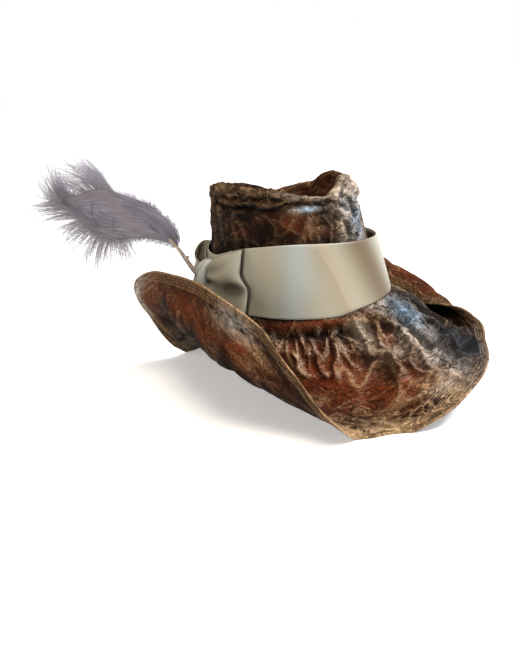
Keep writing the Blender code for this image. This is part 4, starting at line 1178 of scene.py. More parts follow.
def make_leaf():
    """The closed part of the plume, with its streaks stored in it."""
    at = np.linspace(0, len(LEAF) - 1, LEAF_STEPS)
    across = np.linspace(0, 1, LEAF_ACROSS)[None, :]
    edges = np.array([spline(row, at) for row in np.array(LEAF).T]).T[:, None] / 1000
    flat = edges[..., 2:] + (edges[..., :2] - edges[..., 2:]) * across[..., None]
    ends = smooth(at / 1.5)[:, None] * smooth((len(LEAF) - 1 - at) / 2.5)[:, None]
    swollen = (1 - (2 * across - 1) ** 2) ** 0.6
    waves = np.array([[noise.noise(Vector((along * WAVES_ALONG, up * WAVES_ACROSS, 0)))
                       for up in across[0].tolist()] for along in at.tolist()])
    half = LEAF_HALF_THICKNESS * swollen * (0.3 + 0.7 * ends) + LEAST_HALF_THICKNESS
    cup = LEAF_CUP * swollen * ends + LEAF_WAVE * waves * swollen
    grid = np.concatenate([in_feather(flat, cup + half), in_feather(flat, cup - half)[:, ::-1]], axis=1)
    fields = {"tone": np.clip(0.30 + 1.1 * waves, 0, 1.2), "pink": beside_lines(flat, PINK_STREAKS),
              "blue": beside_lines(flat, BLUE_STREAKS), "dark": beside_lines(flat, DARK_STREAKS)}
    fields = {label: np.concatenate([values, values[:, ::-1]], axis=1) for label, values in fields.items()}
    leaf = piece_from("plume_leaf", grid, sleeve_faces(*grid.shape[:2]), fields)
    turn_faces_out(leaf.data)
    return leaf


leaf = make_leaf()
print("leaf faces:", len(leaf.data.polygons))

# %% [markdown]
# Past the leaf the barbs are free. They cling together in pointed spikes, with clear gaps between them, and
# curl a little. Each spike is a dozen curved strips, thin as thread, that start side by side on the leaf's
# edge and meet at one tip. Between every two spikes that were measured stands one more, a little shorter.

# %% Lay out the spikes
# Rows, in mm in the feather's plane: root along and up, tip along and up, bow as a share of the length
SPIKES = (
    (79.4, 70.9, 68.1, 48.8, 0.08), (84.0, 70.9, 76.3, 40.7, 0.08), (87.5, 70.5, 82.7, 43.7, 0.08),
    (91.1, 70.1, 89.6, 36.9, 0.08), (95.8, 70.0, 93.5, 48.7, 0.08), (99.3, 70.0, 102.1, 39.5, 0.08),
    (102.1, 70.0, 108.0, 46.6, 0.10), (103.8, 70.6, 119.2, 30.1, 0.10), (107.2, 71.4, 127.7, 30.0, 0.10),
    (110.6, 72.1, 122.7, 44.5, 0.10), (112.8, 73.1, 138.9, 35.1, 0.10), (116.2, 74.1, 132.8, 48.6, 0.10),
    (119.6, 75.2, 143.5, 43.4, 0.10), (121.6, 76.8, 158.0, 48.1, 0.10), (125.0, 78.2, 151.7, 57.9, 0.10),
    (128.2, 79.9, 170.9, 54.8, 0.10), (131.4, 82.4, 159.8, 67.2, 0.09), (133.4, 84.4, 176.3, 65.2, 0.09),
    (136.0, 87.1, 176.6, 76.0, 0.08), (138.5, 89.5, 164.3, 81.7, 0.07), (140.4, 92.0, 185.7, 89.2, 0.06),
    (142.3, 94.6, 176.7, 94.2, 0.05), (144.3, 96.7, 196.5, 89.3, 0.06), (146.7, 99.8, 203.8, 96.7, 0.05),
    (148.7, 101.8, 188.9, 101.6, 0.03), (150.2, 103.9, 205.5, 103.3, 0.03),
    (152.2, 106.3, 191.0, 109.8, 0.0), (154.1, 109.0, 201.6, 109.4, 0.0),
    (156.4, 112.1, 195.1, 114.0, -0.04), (155.1, 110.0, 190.2, 134.7, -0.14),
    (153.5, 112.0, 178.7, 132.8, -0.14), (156.7, 114.1, 181.2, 146.8, -0.18),
    (158.7, 116.5, 189.9, 121.0, -0.10), (157.2, 117.7, 175.1, 140.6, -0.14),
    (155.8, 119.1, 178.9, 149.7, -0.16), (153.1, 120.0, 164.6, 153.7, -0.14),
    (150.7, 120.3, 162.1, 152.0, -0.14), (146.9, 120.8, 160.1, 146.0, -0.12),
    (142.1, 121.1, 154.7, 142.9, -0.10), (134.8, 121.9, 168.1, 136.4, 0.06),
    (129.8, 122.9, 159.5, 137.1, 0.08), (124.8, 124.2, 149.4, 153.0, 0.10),
    (119.8, 126.0, 158.9, 140.1, 0.12), (116.2, 126.4, 144.8, 154.0, 0.12),
    (112.6, 126.7, 148.9, 145.6, 0.14), (110.2, 127.0, 138.1, 155.0, 0.14),
    (107.8, 127.6, 135.6, 149.0, 0.14), (105.5, 127.5, 127.0, 158.0, 0.12),
    (103.7, 127.4, 122.3, 157.0, 0.12), (102.7, 127.4, 130.0, 146.8, 0.16),
    (101.9, 126.8, 116.2, 151.7, 0.12), (101.1, 126.0, 111.5, 145.7, 0.10),
    (100.3, 125.6, 107.1, 138.2, 0.10),
)
SPIKE_BARBS, SPIKES_BETWEEN, SPIKE_STRETCH = 12, 1, 1.26
barbs = []


def curve(start, tip, bow, lift, width):
    """A barb that bows aside: start, control point and tip in metres, lift at the tip, and width."""
    run = tip - start
    return start, start + 0.5 * run + bow * 2 * np.array([-run[1], run[0]]), tip, lift, width


spikes = [np.array(SPIKES[0])]
for before, after in zip(SPIKES, SPIKES[1:]):
    between = [np.array(before) + (np.array(after) - np.array(before)) * share
               for share in (np.arange(SPIKES_BETWEEN) + 1) / (SPIKES_BETWEEN + 1)]
    for spike in between:
        spike[2:4] += (spike[:2] - spike[2:4]) * random.uniform(0.0, 0.30) + random.normal(0, 1.5, 2)
    spikes += between + [np.array(after)]
for number, (along, rise, tip_along, tip_rise, bow) in enumerate(spikes):
    root, point = np.array([along, rise]) / 1000, np.array([tip_along, tip_rise]) / 1000
    inward = (root - point) / np.linalg.norm(root - point)
    point = root + SPIKE_STRETCH * (point - root)
    lift = 0.0055 * math.sin(2.4 * number)
    for barb in range(SPIKE_BARBS):
        start = root + inward * random.uniform(0.004, 0.018) + random.normal(0, 0.0010, 2)
        tip = point + random.normal(0, 0.0005, 2)
        tip = tip + (start - tip) * (0.60 * (barb / SPIKE_BARBS) ** 1.3)
        barbs.append(curve(start, tip, bow + random.normal(0, 0.015), lift + random.normal(0, 0.0012),
                           random.uniform(0.00028, 0.00045)))
print("spikes:", len(spikes), "with", len(barbs), "barbs")

# %% [markdown]
# Three more kinds of barb soften the plume. A band of them runs over the leaf's lower edge and hides where
# the spikes start. Strays stand out between the spikes. A short fuzz lies along both edges of the leaf.

# %% Add loose barbs and fuzz
BAND_BARBS, STRAY_BARBS, FUZZ_BARBS = 420, 600, 1800
# The band on the lower edge, in mm: where it starts and ends, one point that it passes, and its width
EDGE_START, EDGE_END, EDGE_ALONG, EDGE_UP, EDGE_SPREAD = 118, 154, 126, 84, 5

for _ in range(BAND_BARBS):
    along = random.uniform(EDGE_START, EDGE_END)
    start = np.array([along, EDGE_UP + (along - EDGE_ALONG) + abs(random.normal(0, EDGE_SPREAD))])
    tip = start + np.array([random.uniform(12, 26), random.uniform(6, 26)])
    barbs.append(curve(start / 1000, tip / 1000, -0.08, 0.003 + random.normal(0, 0.002),
                       random.uniform(0.0004, 0.0008)))
for _ in range(STRAY_BARBS):
    along, rise, tip_along, tip_rise, bow = SPIKES[random.integers(len(SPIKES))]
    start = np.array([along, rise]) / 1000
    tip = np.array([tip_along, tip_rise]) / 1000 + random.normal(0, 0.0050, 2)
    tip = tip + (start - tip) * random.uniform(-0.22, 0.50)
    barbs.append(curve(start, tip, bow + random.normal(0, 0.08), random.normal(0, 0.006),
                       random.uniform(0.00025, 0.0004)))
leaf_edges = np.array(LEAF).T / 1000
for _ in range(FUZZ_BARBS):
    at, side = random.uniform(0.2, len(LEAF) - 1.5), random.integers(2)
    row, ahead = (spline(leaf_edges, np.array([step]))[:, 0] for step in (at, at + 0.45))
    start, tip = row[2 * side:2 * side + 2], ahead[2 * side:2 * side + 2]
    away = start - (row[:2] + row[2:]) / 2
    away /= np.linalg.norm(away)
    start = start - away * 0.0015
    tip = start + (tip - start) * random.uniform(0.2, 0.9) + away * random.uniform(0.0025, 0.0085)
    barbs.append(curve(start, tip, random.normal(0, 0.05), random.normal(0, 0.0025),
                       random.uniform(0.00022, 0.0004)))
print("barbs in all:", len(barbs))

# %% [markdown]
# A real barb is a thread a few hundredths of a millimetre thick. A curve with a round bevel would need
# dozens of faces for each, so a barb is a flat strip that tapers to its tip and is twisted by chance, which
# catches the light as a thread does. It is drawn 0.2 to 0.8 mm wide, the least that shows.

# %% Grow the barbs
BARB_STEPS = 8


def make_plume():
    """Every free barb as one mesh of narrow curved strips."""
    starts, controls, tips, lifts, widths = (np.array(values) for values in zip(*barbs))
    t = np.linspace(0, 1, BARB_STEPS + 1)[None, :, None]
    flat = (1 - t) ** 2 * starts[:, None] + 2 * t * (1 - t) * controls[:, None] + t * t * tips[:, None]
    ahead = (1 - t) * (controls - starts)[:, None] + t * (tips - controls)[:, None]
    ahead /= np.maximum(np.linalg.norm(ahead, axis=-1, keepdims=True), 1e-9)
    aside = np.stack([-ahead[..., 1], ahead[..., 0]], axis=-1)
    along = t[..., 0]
    lift = 0.003 * (1 - along) + lifts[:, None] * along ** 1.5
    half = widths[:, None] / 2 * (1 - 0.6 * along ** 2)
    twist = random.uniform(-0.7, 0.7, (len(starts), 1))
    over, up = aside * (half * np.cos(twist))[..., None], half * np.sin(twist)
    grid = np.stack([in_feather(flat + over, lift + up), in_feather(flat - over, lift - up)], axis=2)
    index = np.arange(grid[..., 0].size).reshape(grid.shape[:3])
    faces = np.stack([index[:, :-1, 0], index[:, :-1, 1], index[:, 1:, 1], index[:, 1:, 0]], axis=-1)
    tone = np.repeat(random.uniform(0.7, 1.2, len(starts)), 2 * (BARB_STEPS + 1))
    return piece_from("plume_barbs", grid, faces.reshape(-1, 4).tolist(), {"tone": tone})


plume = make_plume()
print("barb faces:", len(plume.data.polygons))

# %% [markdown]
# The bare end of the quill is a hollow horn stem, thickest where the knot holds it. One barb was trimmed
# off it and has left a stub on its upper side, so the tube swells there.

# %% Draw the bare quill
QUILL_RADIUS, QUILL_BARE_SHARE, QUILL_RINGS, QUILL_SIDES = 0.0019, 0.26, 60, 12
STUB_HEIGHT, STUB_SHARE, STUB_HALF_WIDTH = 0.0032, 0.115, 0.010


def make_quill():
    """A tapering horn stem that runs into the leaf, with the stub of a trimmed barb on its upper side."""
    shares = np.linspace(0, QUILL_BARE_SHARE, QUILL_RINGS)
    stub = STUB_HEIGHT * np.exp(-((shares - STUB_SHARE) / STUB_HALF_WIDTH) ** 2)
    radius = QUILL_RADIUS + 0.0007 * smooth(shares / 0.05) - 0.005 * np.maximum(shares - 0.05, 0)
    a = np.linspace(0, 2 * np.pi, QUILL_SIDES, endpoint=False)
    reach = radius[:, None] * np.cos(a) + stub[:, None] * np.maximum(np.cos(a), 0) ** 6
    flat = on_quill(shares)[:, None] + off_quill(shares)[:, None] * reach[..., None]
    grid = in_feather(flat, radius[:, None] * np.sin(a))
    quill = piece_from("plume_quill", grid, tube_faces(QUILL_RINGS, QUILL_SIDES), {})
    turn_faces_out(quill.data)
    return quill


quill = make_quill()
print("quill thickness, mm:", round(2000 * QUILL_RADIUS, 1))

# %% [markdown]
# Materials come next. Each starts as a Principled shader with the values typical of the real stuff. One
# helper adds any node, sets it and joins it up, and one turns the hex colours read off cloth swatches to
# linear.

# %% Two helpers for materials
def linear(code):
    """An sRGB hex colour as linear red, green, blue and alpha."""
    values = [int(code[i:i + 2], 16) / 255 for i in (1, 3, 5)]
    return [v / 12.92 if v <= 0.04045 else ((v + 0.055) / 1.055) ** 2.4 for v in values] + [1.0]


def add(tree, kind, settings, inputs, out=0):
    """Adds a node, sets it, gives each input a value or joins it to a socket, and returns one output."""
    node = tree.nodes.new(kind)
    for name, value in settings.items():
        setattr(node, name, value)
    for key, value in inputs.items():
        if isinstance(value, bpy.types.NodeSocket):
            tree.links.new(value, node.inputs[key])
        else:
            node.inputs[key].default_value = value
    return node.outputs[out]


def shader_of(name):
    """A new material with its tree and its Principled shader."""
    material = bpy.data.materials.new(name)
    material.use_nodes = True
    return material, material.node_tree, material.node_tree.nodes["Principled BSDF"]

# Settings that many nodes share
MIX, EASE, CLAMPED = {"data_type": "RGBA"}, {"interpolation_type": "SMOOTHSTEP"}, {"use_clamp": True}
MULTIPLY, MULTIPLY_ADD, MAXIMUM = ({"operation": name} for name in ("MULTIPLY", "MULTIPLY_ADD", "MAXIMUM"))
print("mid grey in linear light:", round(linear("#808080")[0], 3))

# %% [markdown]
# Velvet is a cut pile: short rayon threads that stand on a woven ground. Seen end on they swallow light, so
# the cloth looks almost black. Where they are crushed flat they shine, pale and cool, and along worn
# creases the tan ground shows. First come the fine creases, too small for the mesh: a bent noise is cut at
# one value, which gives a pale line, worn and painted as the lit side of the crease, and beside it at a
# lower one, which gives a painted shade along the groove.

# %% Draw the velvet's fine creases
# Fine creases lie 3 to 7 mm apart and run mostly along the rim. Rows: noise scale per metre, half width
FINE_CREASES = ((70, 0.040), (150, 0.060))
DRAWN_OUT = (0.75, 0.75, 1.20)


def velvet_creases(tree, drawn):
    """Pale crease lines, worn and painted as lit, and the painted shade beside each line, from 0 to 1."""
    lit, shaded = [], []
    for scale, width in FINE_CREASES:
        bent = {"Vector": drawn, "Scale": scale, "Detail": 1.2, "Roughness": 0.5, "Distortion": 0.9}
        swing = add(tree, "ShaderNodeTexNoise", {}, bent, "Fac")
        for lines, middle in ((lit, 0.5), (shaded, 0.5 - 1.5 * width)):
            centred = add(tree, "ShaderNodeMath", {"operation": "SUBTRACT"}, {0: swing, 1: middle})
            away = add(tree, "ShaderNodeMath", {"operation": "ABSOLUTE"}, {0: centred})
            lines.append(add(tree, "ShaderNodeMapRange", EASE, {0: away, 1: 0.0, 2: width, 3: 1.0, 4: 0.0}))
    return [add(tree, "ShaderNodeMath", MULTIPLY_ADD | CLAMPED, {0: small, 1: 0.5, 2: large})
            for large, small in (lit, shaded)]


print("swings of the crease noise, mm:", [round(1000 / scale) for scale, _ in FINE_CREASES])

# %% [markdown]
# The standing pile is mostly the cloth's own colour. Brown dye on rayon goes from nearly black to rust as
# the pile leans, with a golden dust along the rim where it is rubbed. The coal and slate patches are dark
# pile and painted shade, slate where the painted cool light of the window falls. Every patch is broken by a
# noise of the cloth, so that none has the clean edge of paint.

# %% Colour the standing pile
VELVET_DARK, VELVET_BROWN, VELVET_RUST, VELVET_GOLD = "#0c0503", "#1f0d06", "#5a2408", "#a2835e"
# Dark pile and painted shade, slate where the painted cool light falls
VELVET_COAL_AND_SHADE, VELVET_SLATE_AND_SHADE = "#0a0605", "#0c0e10"


def standing_pile(tree, stored, patch, nap):
    """The pile's colour before any is worn or brushed, with painted shade in its dark patches."""
    deep = add(tree, "ShaderNodeMapRange", EASE, {0: patch, 1: 0.40, 2: 0.62})
    colour = add(tree, "ShaderNodeMix", MIX, {0: deep, 6: linear(VELVET_DARK), 7: linear(VELVET_BROWN)}, 2)
    glow = add(tree, "ShaderNodeMapRange", EASE, {0: nap, 1: 0.34, 2: 0.62, 3: 0.50, 4: 1.0})
    rust = add(tree, "ShaderNodeMath", MULTIPLY, {0: stored["rust"], 1: glow})
    colour = add(tree, "ShaderNodeMix", MIX, {0: rust, 6: colour, 7: linear(VELVET_RUST)}, 2)
    dusty = add(tree, "ShaderNodeMapRange", EASE, {0: patch, 1: 0.44, 2: 0.60, 3: 0.0, 4: 0.42})
    dusted = add(tree, "ShaderNodeMath", MULTIPLY, {0: stored["gold"], 1: dusty})
    colour = add(tree, "ShaderNodeMix", MIX, {0: dusted, 6: colour, 7: linear(VELVET_GOLD)}, 2)
    # Dark pile and painted shade, slate under the painted cool light
    coal_and_shade_colours = {0: stored["painted_cool_light"], 6: linear(VELVET_COAL_AND_SHADE), 7: linear(VELVET_SLATE_AND_SHADE)}
    dark_pile_and_shade = add(tree, "ShaderNodeMix", MIX, coal_and_shade_colours, 2)
    return add(tree, "ShaderNodeMix", MIX, {0: stored["dark_pile_and_shade"], 6: colour, 7: dark_pile_and_shade}, 2)


print("rust pile, linear:", [round(value, 3) for value in linear(VELVET_RUST)[:3]])

# %% [markdown]
# On the sharp creases the pile is worn through, and the tan ground or the pale backs of the threads show.
# The computed creases of the mesh, the fine ones and the hem's stitches all wear in the same way, in broken
# lines, and on the creases the pale line is also a painted highlight. In the coal patches they hardly show:
# the pile there is whole, and the patches hold painted shade.

# %% Wear the creases
# The worn ground, grey where the painted cool light falls
VELVET_TAN, VELVET_GREY_IN_COOL_LIGHT = "#8a6b4b", "#565b5f"


def worn_and_lit_lines(tree, stored, patch, nap, creases):
    """Where the worn and painted lit lines are, from 0 to 1, and the colour of the ground in them."""
    worn = add(tree, "ShaderNodeMapRange", EASE, {0: patch, 1: 0.44, 2: 0.68, 3: 0.03, 4: 0.38})
    gilt = add(tree, "ShaderNodeMath", MULTIPLY_ADD | CLAMPED, {0: stored["gold"], 1: 0.85, 2: worn})
    plain = add(tree, "ShaderNodeMath", MULTIPLY_ADD, {0: stored["dark_pile_and_shade"], 1: -0.6, 2: 1.0})
    gilt = add(tree, "ShaderNodeMath", MULTIPLY, {0: gilt, 1: plain})
    line = add(tree, "ShaderNodeMath", MULTIPLY, {0: creases, 1: gilt})
    broken = add(tree, "ShaderNodeMapRange", EASE, {0: nap, 1: 0.36, 2: 0.58, 3: 0.45, 4: 1.0})
    crest = add(tree, "ShaderNodeMath", MULTIPLY, {0: stored["crest"], 1: broken})
    crest = add(tree, "ShaderNodeMath", MULTIPLY, {0: crest, 1: plain})
    thread = add(tree, "ShaderNodeMath", MULTIPLY, {0: stored["stitch"], 1: broken})
    for other in (crest, thread):
        line = add(tree, "ShaderNodeMath", MAXIMUM, {0: line, 1: other})
    rubbed = {0: stored["gold"], 6: linear(VELVET_TAN), 7: linear(VELVET_GOLD)}
    ground = add(tree, "ShaderNodeMix", MIX, rubbed, 2)
    return line, add(tree, "ShaderNodeMix", MIX, {0: stored["painted_cool_light"], 6: ground, 7: linear(VELVET_GREY_IN_COOL_LIGHT)}, 2)


print("worn ground, linear:", [round(value, 3) for value in linear(VELVET_TAN)[:3]])

# %% [markdown]
# Pile that is pressed flat turns its sides to the light and shines: pale beige at the front, blue under the
# window. That sheen is painted in, laid over the colours in strokes because the pile is brushed by hand and
# by wear, and it leaves the grooves in their painted shade.

# %% Brush the pile flat and paint its sheen
# Colours of the painted sheen
VELVET_PALE_SHEEN, VELVET_COOL_SHEEN = "#b09c84", "#7f95a6"


def brushed_pile_and_sheen(tree, stored, patch, nap, shaded_grooves):
    """How much pile lies flat and takes the painted sheen, from 0 to 1, and the colour of that sheen."""
    pale_or_blue = {0: stored["painted_cool_light"], 6: linear(VELVET_PALE_SHEEN), 7: linear(VELVET_COOL_SHEEN)}
    shine = add(tree, "ShaderNodeMix", MIX, pale_or_blue, 2)
    strokes = add(tree, "ShaderNodeMapRange", EASE, {0: nap, 1: 0.38, 2: 0.60, 3: 0.62, 4: 1.0})
    marks = add(tree, "ShaderNodeMapRange", EASE, {0: patch, 1: 0.34, 2: 0.54, 3: 0.35, 4: 1.0})
    marks = add(tree, "ShaderNodeMath", MULTIPLY, {0: marks, 1: strokes})
    lifted = add(tree, "ShaderNodeMath", MULTIPLY_ADD, {0: shaded_grooves, 1: -0.30, 2: marks})
    return add(tree, "ShaderNodeMath", MULTIPLY | CLAMPED, {0: stored["sheen_and_flat_pile"], 1: lifted}), shine


print("blue shine, linear:", [round(value, 3) for value in linear(VELVET_COOL_SHEEN)[:3]])

# %% [markdown]
# Now the velvet is put together. Three noises give it grain: patches of a few centimetres, the nap of a few
# millimetres, and the pile. A deep fold gets painted shade, and both the nap and the pile stand up in a bump
# that only adds to the mesh's own creases. Velvet is rough and hardly reflects, except where the pile lies
# flat.

# %% Crushed velvet
PATCH_SCALE, NAP_SCALE = 48, 300
# The real pile is 0.1 mm across. It is drawn at about 1.5 mm, the finest that shows.
PILE_SCALE = 650
# How much painted shade a deep hollow and a groove give the cloth, and how deep the bump is
HOLLOW_SHADE, GROOVE_SHADE, BUMP_DEPTH = 0.30, -0.32, 0.0012


def crushed_velvet():
    """Velvet for the crown and the brim."""
    material, tree, shader = shader_of("crushed_velvet")
    cloth = add(tree, "ShaderNodeAttribute", {"attribute_name": "cloth"}, {}, "Vector")
    stored = {label: add(tree, "ShaderNodeAttribute", {"attribute_name": label}, {}, "Fac")
              for label in brim_fields}
    drawn = add(tree, "ShaderNodeVectorMath", MULTIPLY, {0: cloth, 1: DRAWN_OUT})
    patch, nap, pile = (add(tree, "ShaderNodeTexNoise", {}, inputs, "Fac") for inputs in (
        {"Vector": drawn, "Scale": PATCH_SCALE, "Detail": 4, "Distortion": 0.4},
        {"Vector": drawn, "Scale": NAP_SCALE, "Detail": 2, "Distortion": 0.3},
        {"Vector": cloth, "Scale": PILE_SCALE, "Detail": 2, "Roughness": 0.6}))
    creases, shaded_grooves = velvet_creases(tree, drawn)
    colour = standing_pile(tree, stored, patch, nap)
    line, ground = worn_and_lit_lines(tree, stored, patch, nap, creases)
    colour = add(tree, "ShaderNodeMix", MIX, {0: line, 6: colour, 7: ground}, 2)
    sheen_and_flat_pile, shine = brushed_pile_and_sheen(tree, stored, patch, nap, shaded_grooves)
    colour = add(tree, "ShaderNodeMix", MIX, {0: sheen_and_flat_pile, 6: colour, 7: shine}, 2)

    # Painted shade in the deep hollows
    painted_hollow_shade = {0: stored["painted_hollow_shade"], 1: 0.05, 2: 0.85, 3: 1.0, 4: HOLLOW_SHADE}
    shade = add(tree, "ShaderNodeMapRange", EASE, painted_hollow_shade)
    # A painted shade along the groove beside each fine crease
    groove_shade = add(tree, "ShaderNodeMath", MULTIPLY_ADD, {0: shaded_grooves, 1: GROOVE_SHADE, 2: 1.0})
    shade = add(tree, "ShaderNodeMath", MULTIPLY, {0: shade, 1: groove_shade})
    speck = add(tree, "ShaderNodeMapRange", {}, {0: pile, 1: 0.34, 2: 0.66, 3: 0.78, 4: 1.22})
    tone = add(tree, "ShaderNodeMath", MULTIPLY, {0: shade, 1: speck})
    toned = add(tree, "ShaderNodeVectorMath", {"operation": "SCALE"}, {0: colour, "Scale": tone})
    tree.links.new(toned, shader.inputs["Base Color"])

    relief = add(tree, "ShaderNodeMath", MULTIPLY_ADD, {0: nap, 1: 0.3, 2: creases})
    for part, height in ((shaded_grooves, -0.4), (pile, 0.15)):
        relief = add(tree, "ShaderNodeMath", MULTIPLY_ADD, {0: part, 1: height, 2: relief})
    bump = add(tree, "ShaderNodeBump", {}, {"Strength": 1.0, "Distance": BUMP_DEPTH, "Height": relief})
    tree.links.new(bump, shader.inputs["Normal"])
    rough = add(tree, "ShaderNodeMapRange", {}, {0: sheen_and_flat_pile, 1: 0.0, 2: 1.0, 3: 0.90, 4: 0.55})
    tree.links.new(rough, shader.inputs["Roughness"])
    shader.inputs["Specular IOR Level"].default_value = 0.06
    shader.inputs["Sheen Weight"].default_value = 0.02
    shader.inputs["Sheen Roughness"].default_value = 0.40
    shader.inputs["Sheen Tint"].default_value = linear("#c8b098")
    return material


velvet = crushed_velvet()
for piece in (brim, crown):
    piece.data.materials.append(velvet)
print("velvet nodes:", len(velvet.node_tree.nodes))

# %% [markdown]
# Satin is woven so that its silky threads float over many others on the face. It is smooth, but the floats
# all lie one way, so its gloss is broad and soft. The champagne dye varies a little at random. Over it lie
# painted reflections, cooler or warmer from place to place as the ribbon turns, a painted sheen on the
# knot, and painted shade in the bow's folds, a little darker close to the knot.

# %% Champagne satin
# The khaki and cool colours are the dye's random tones. The cool one is also a painted reflection, as are
# the warm and tan ones; the silver one is a painted sheen and the fold one painted shade
SATIN_KHAKI, SATIN_COOL_AND_REFLECTION, SATIN_WARM_HIGHLIGHT, SATIN_TAN_REFLECTION = "#8a836e", "#8b8e89", "#82755d", "#4f412c"
SATIN_SILVER_SHEEN, SATIN_FOLD_SHADE = "#adaeaa", "#241f15"
# Real floats are 0.25 mm apart. They are drawn at 0.9 mm, the finest that shows.
FLOAT_SCALE = 350


def champagne_satin():
    """Satin for the band, the loops and the knot."""
    material, tree, shader = shader_of("champagne_satin")
    spot = add(tree, "ShaderNodeTexCoord", {}, {}, "Object")
    slow_noise = {"Vector": spot, "Scale": 22, "Detail": 2, "Roughness": 0.4}
    slow = add(tree, "ShaderNodeTexNoise", {}, slow_noise, "Fac")
    uneven = add(tree, "ShaderNodeMapRange", EASE, {0: slow, 1: 0.35, 2: 0.65, 3: 0.0, 4: 0.35})
    colour = add(tree, "ShaderNodeMix", MIX, {0: uneven, 6: linear(SATIN_KHAKI), 7: linear(SATIN_COOL_AND_REFLECTION)}, 2)
    # Painted reflections, the knot's painted sheen and the painted shade of the folds
    tones = {"painted_cool_light": SATIN_COOL_AND_REFLECTION, "painted_tan_reflection": SATIN_TAN_REFLECTION, "painted_warm_highlight": SATIN_WARM_HIGHLIGHT, "painted_silver_sheen": SATIN_SILVER_SHEEN,
             "fold": SATIN_FOLD_SHADE}
    for label, code in tones.items():
        here = add(tree, "ShaderNodeAttribute", {"attribute_name": label}, {}, "Fac")
        colour = add(tree, "ShaderNodeMix", MIX, {0: here, 6: colour, 7: linear(code)}, 2)
    tree.links.new(colour, shader.inputs["Base Color"])
    weave = add(tree, "ShaderNodeTexWave", {"wave_type": "BANDS", "bands_direction": "Z"},
                {"Vector": spot, "Scale": FLOAT_SCALE, "Distortion": 0.6, "Detail": 1}, "Fac")
    grain = add(tree, "ShaderNodeTexNoise", {}, {"Vector": spot, "Scale": 900, "Detail": 2}, "Fac")
    height = add(tree, "ShaderNodeMath", {"operation": "ADD"}, {0: weave, 1: grain})
    bump = add(tree, "ShaderNodeBump", {}, {"Strength": 0.10, "Distance": 0.0002, "Height": height})
    tree.links.new(bump, shader.inputs["Normal"])
    rough = add(tree, "ShaderNodeMapRange", {}, {0: grain, 1: 0.0, 2: 1.0, 3: 0.46, 4: 0.56})
    tree.links.new(rough, shader.inputs["Roughness"])
    shader.inputs["Specular IOR Level"].default_value = 0.25
    return material


satin = champagne_satin()
for piece in (band, knot, *loops):
    piece.data.materials.append(satin)
print("satin nodes:", len(satin.node_tree.nodes))

# %% [markdown]
# A downy feather is keratin, dyed here a greyed mauve. Its barbs are so thin that light comes through them,
# so they are mixed with a little translucency and differ in tone from one to the next. Down has no gloss,
# only a soft sheen.

# %% Dyed down
DOWN_DEEP, DOWN_PALE, DOWN_PINK, DOWN_BLUE, DOWN_DARK = "#807c85", "#aaa6ac", "#978a8b", "#73717f", "#54535c"


def dyed_down():
    """Down for the leaf and the free barbs."""
    material, tree, shader = shader_of("dyed_down")
    tone = add(tree, "ShaderNodeAttribute", {"attribute_name": "tone"}, {}, "Fac")
    spot = add(tree, "ShaderNodeTexCoord", {}, {}, "Object")
    patch = add(tree, "ShaderNodeTexNoise", {}, {"Vector": spot, "Scale": 60, "Detail": 3}, "Fac")
    share = add(tree, "ShaderNodeMath", {"operation": "MULTIPLY_ADD"}, {0: tone, 1: 0.8, 2: -0.4})
    share = add(tree, "ShaderNodeMath", {"operation": "ADD", "use_clamp": True}, {0: share, 1: patch})
    colour = add(tree, "ShaderNodeMix", MIX, {0: share, 6: linear(DOWN_DEEP), 7: linear(DOWN_PALE)}, 2)
    for label, code in (("pink", DOWN_PINK), ("blue", DOWN_BLUE), ("dark", DOWN_DARK)):
        here = add(tree, "ShaderNodeAttribute", {"attribute_name": label}, {}, "Fac")
        here = add(tree, "ShaderNodeMath", {"operation": "MULTIPLY"}, {0: here, 1: 0.60})
        colour = add(tree, "ShaderNodeMix", MIX, {0: here, 6: colour, 7: linear(code)}, 2)
    tree.links.new(colour, shader.inputs["Base Color"])
    shader.inputs["Roughness"].default_value = 0.80
    shader.inputs["Specular IOR Level"].default_value = 0.20
    shader.inputs["Sheen Weight"].default_value = 0.30
    through = add(tree, "ShaderNodeBsdfTranslucent", {}, {"Color": colour})
    both = add(tree, "ShaderNodeMixShader", {}, {"Fac": 0.62, 1: shader.outputs[0], 2: through})
    tree.links.new(both, tree.nodes["Material Output"].inputs["Surface"])
    return material


down = dyed_down()
for piece in (plume, leaf):
    piece.data.materials.append(down)
print("down nodes:", len(down.node_tree.nodes))

# %% [markdown]
# The quill is the same keratin but solid, like a fingernail: pinkish grey horn with fine lengthwise streaks
# and a low gloss where it was scraped clean.

# %% Horn of the quill
HORN_DARK, HORN_PALE, STREAK_SCALE = "#6f6157", "#a09080", 400


def horn():
    """Horn for the bare quill."""
    material, tree, shader = shader_of("horn")
    spot = add(tree, "ShaderNodeTexCoord", {}, {}, "Object")
    streak = add(tree, "ShaderNodeTexNoise", {}, {"Vector": spot, "Scale": STREAK_SCALE, "Detail": 3}, "Fac")
    colour = add(tree, "ShaderNodeValToRGB", {}, {"Fac": streak}, "Color")
    for stop, position, code in zip(colour.node.color_ramp.elements, (0.35, 0.70), (HORN_DARK, HORN_PALE)):
        stop.position = position
        stop.color = linear(code)
    tree.links.new(colour, shader.inputs["Base Color"])
    shader.inputs["Roughness"].default_value = 0.42
    return material


quill.data.materials.append(horn())
print("horn, linear:", [round(value, 3) for value in linear(HORN_PALE)[:3]])

# %% [markdown]
# The floor is plain and pale. A studio uses a sheet of white card that curves up behind the object. Here a
# flat floor glows more and more away from the hat, which hides its far edge in the same way and keeps the
# shadow.

# %% Set the floor
FLOOR_GLOW, HORIZON_GLOW, GLOW_FROM, GLOW_TO = 0.34, 0.95, 0.35, 1.6


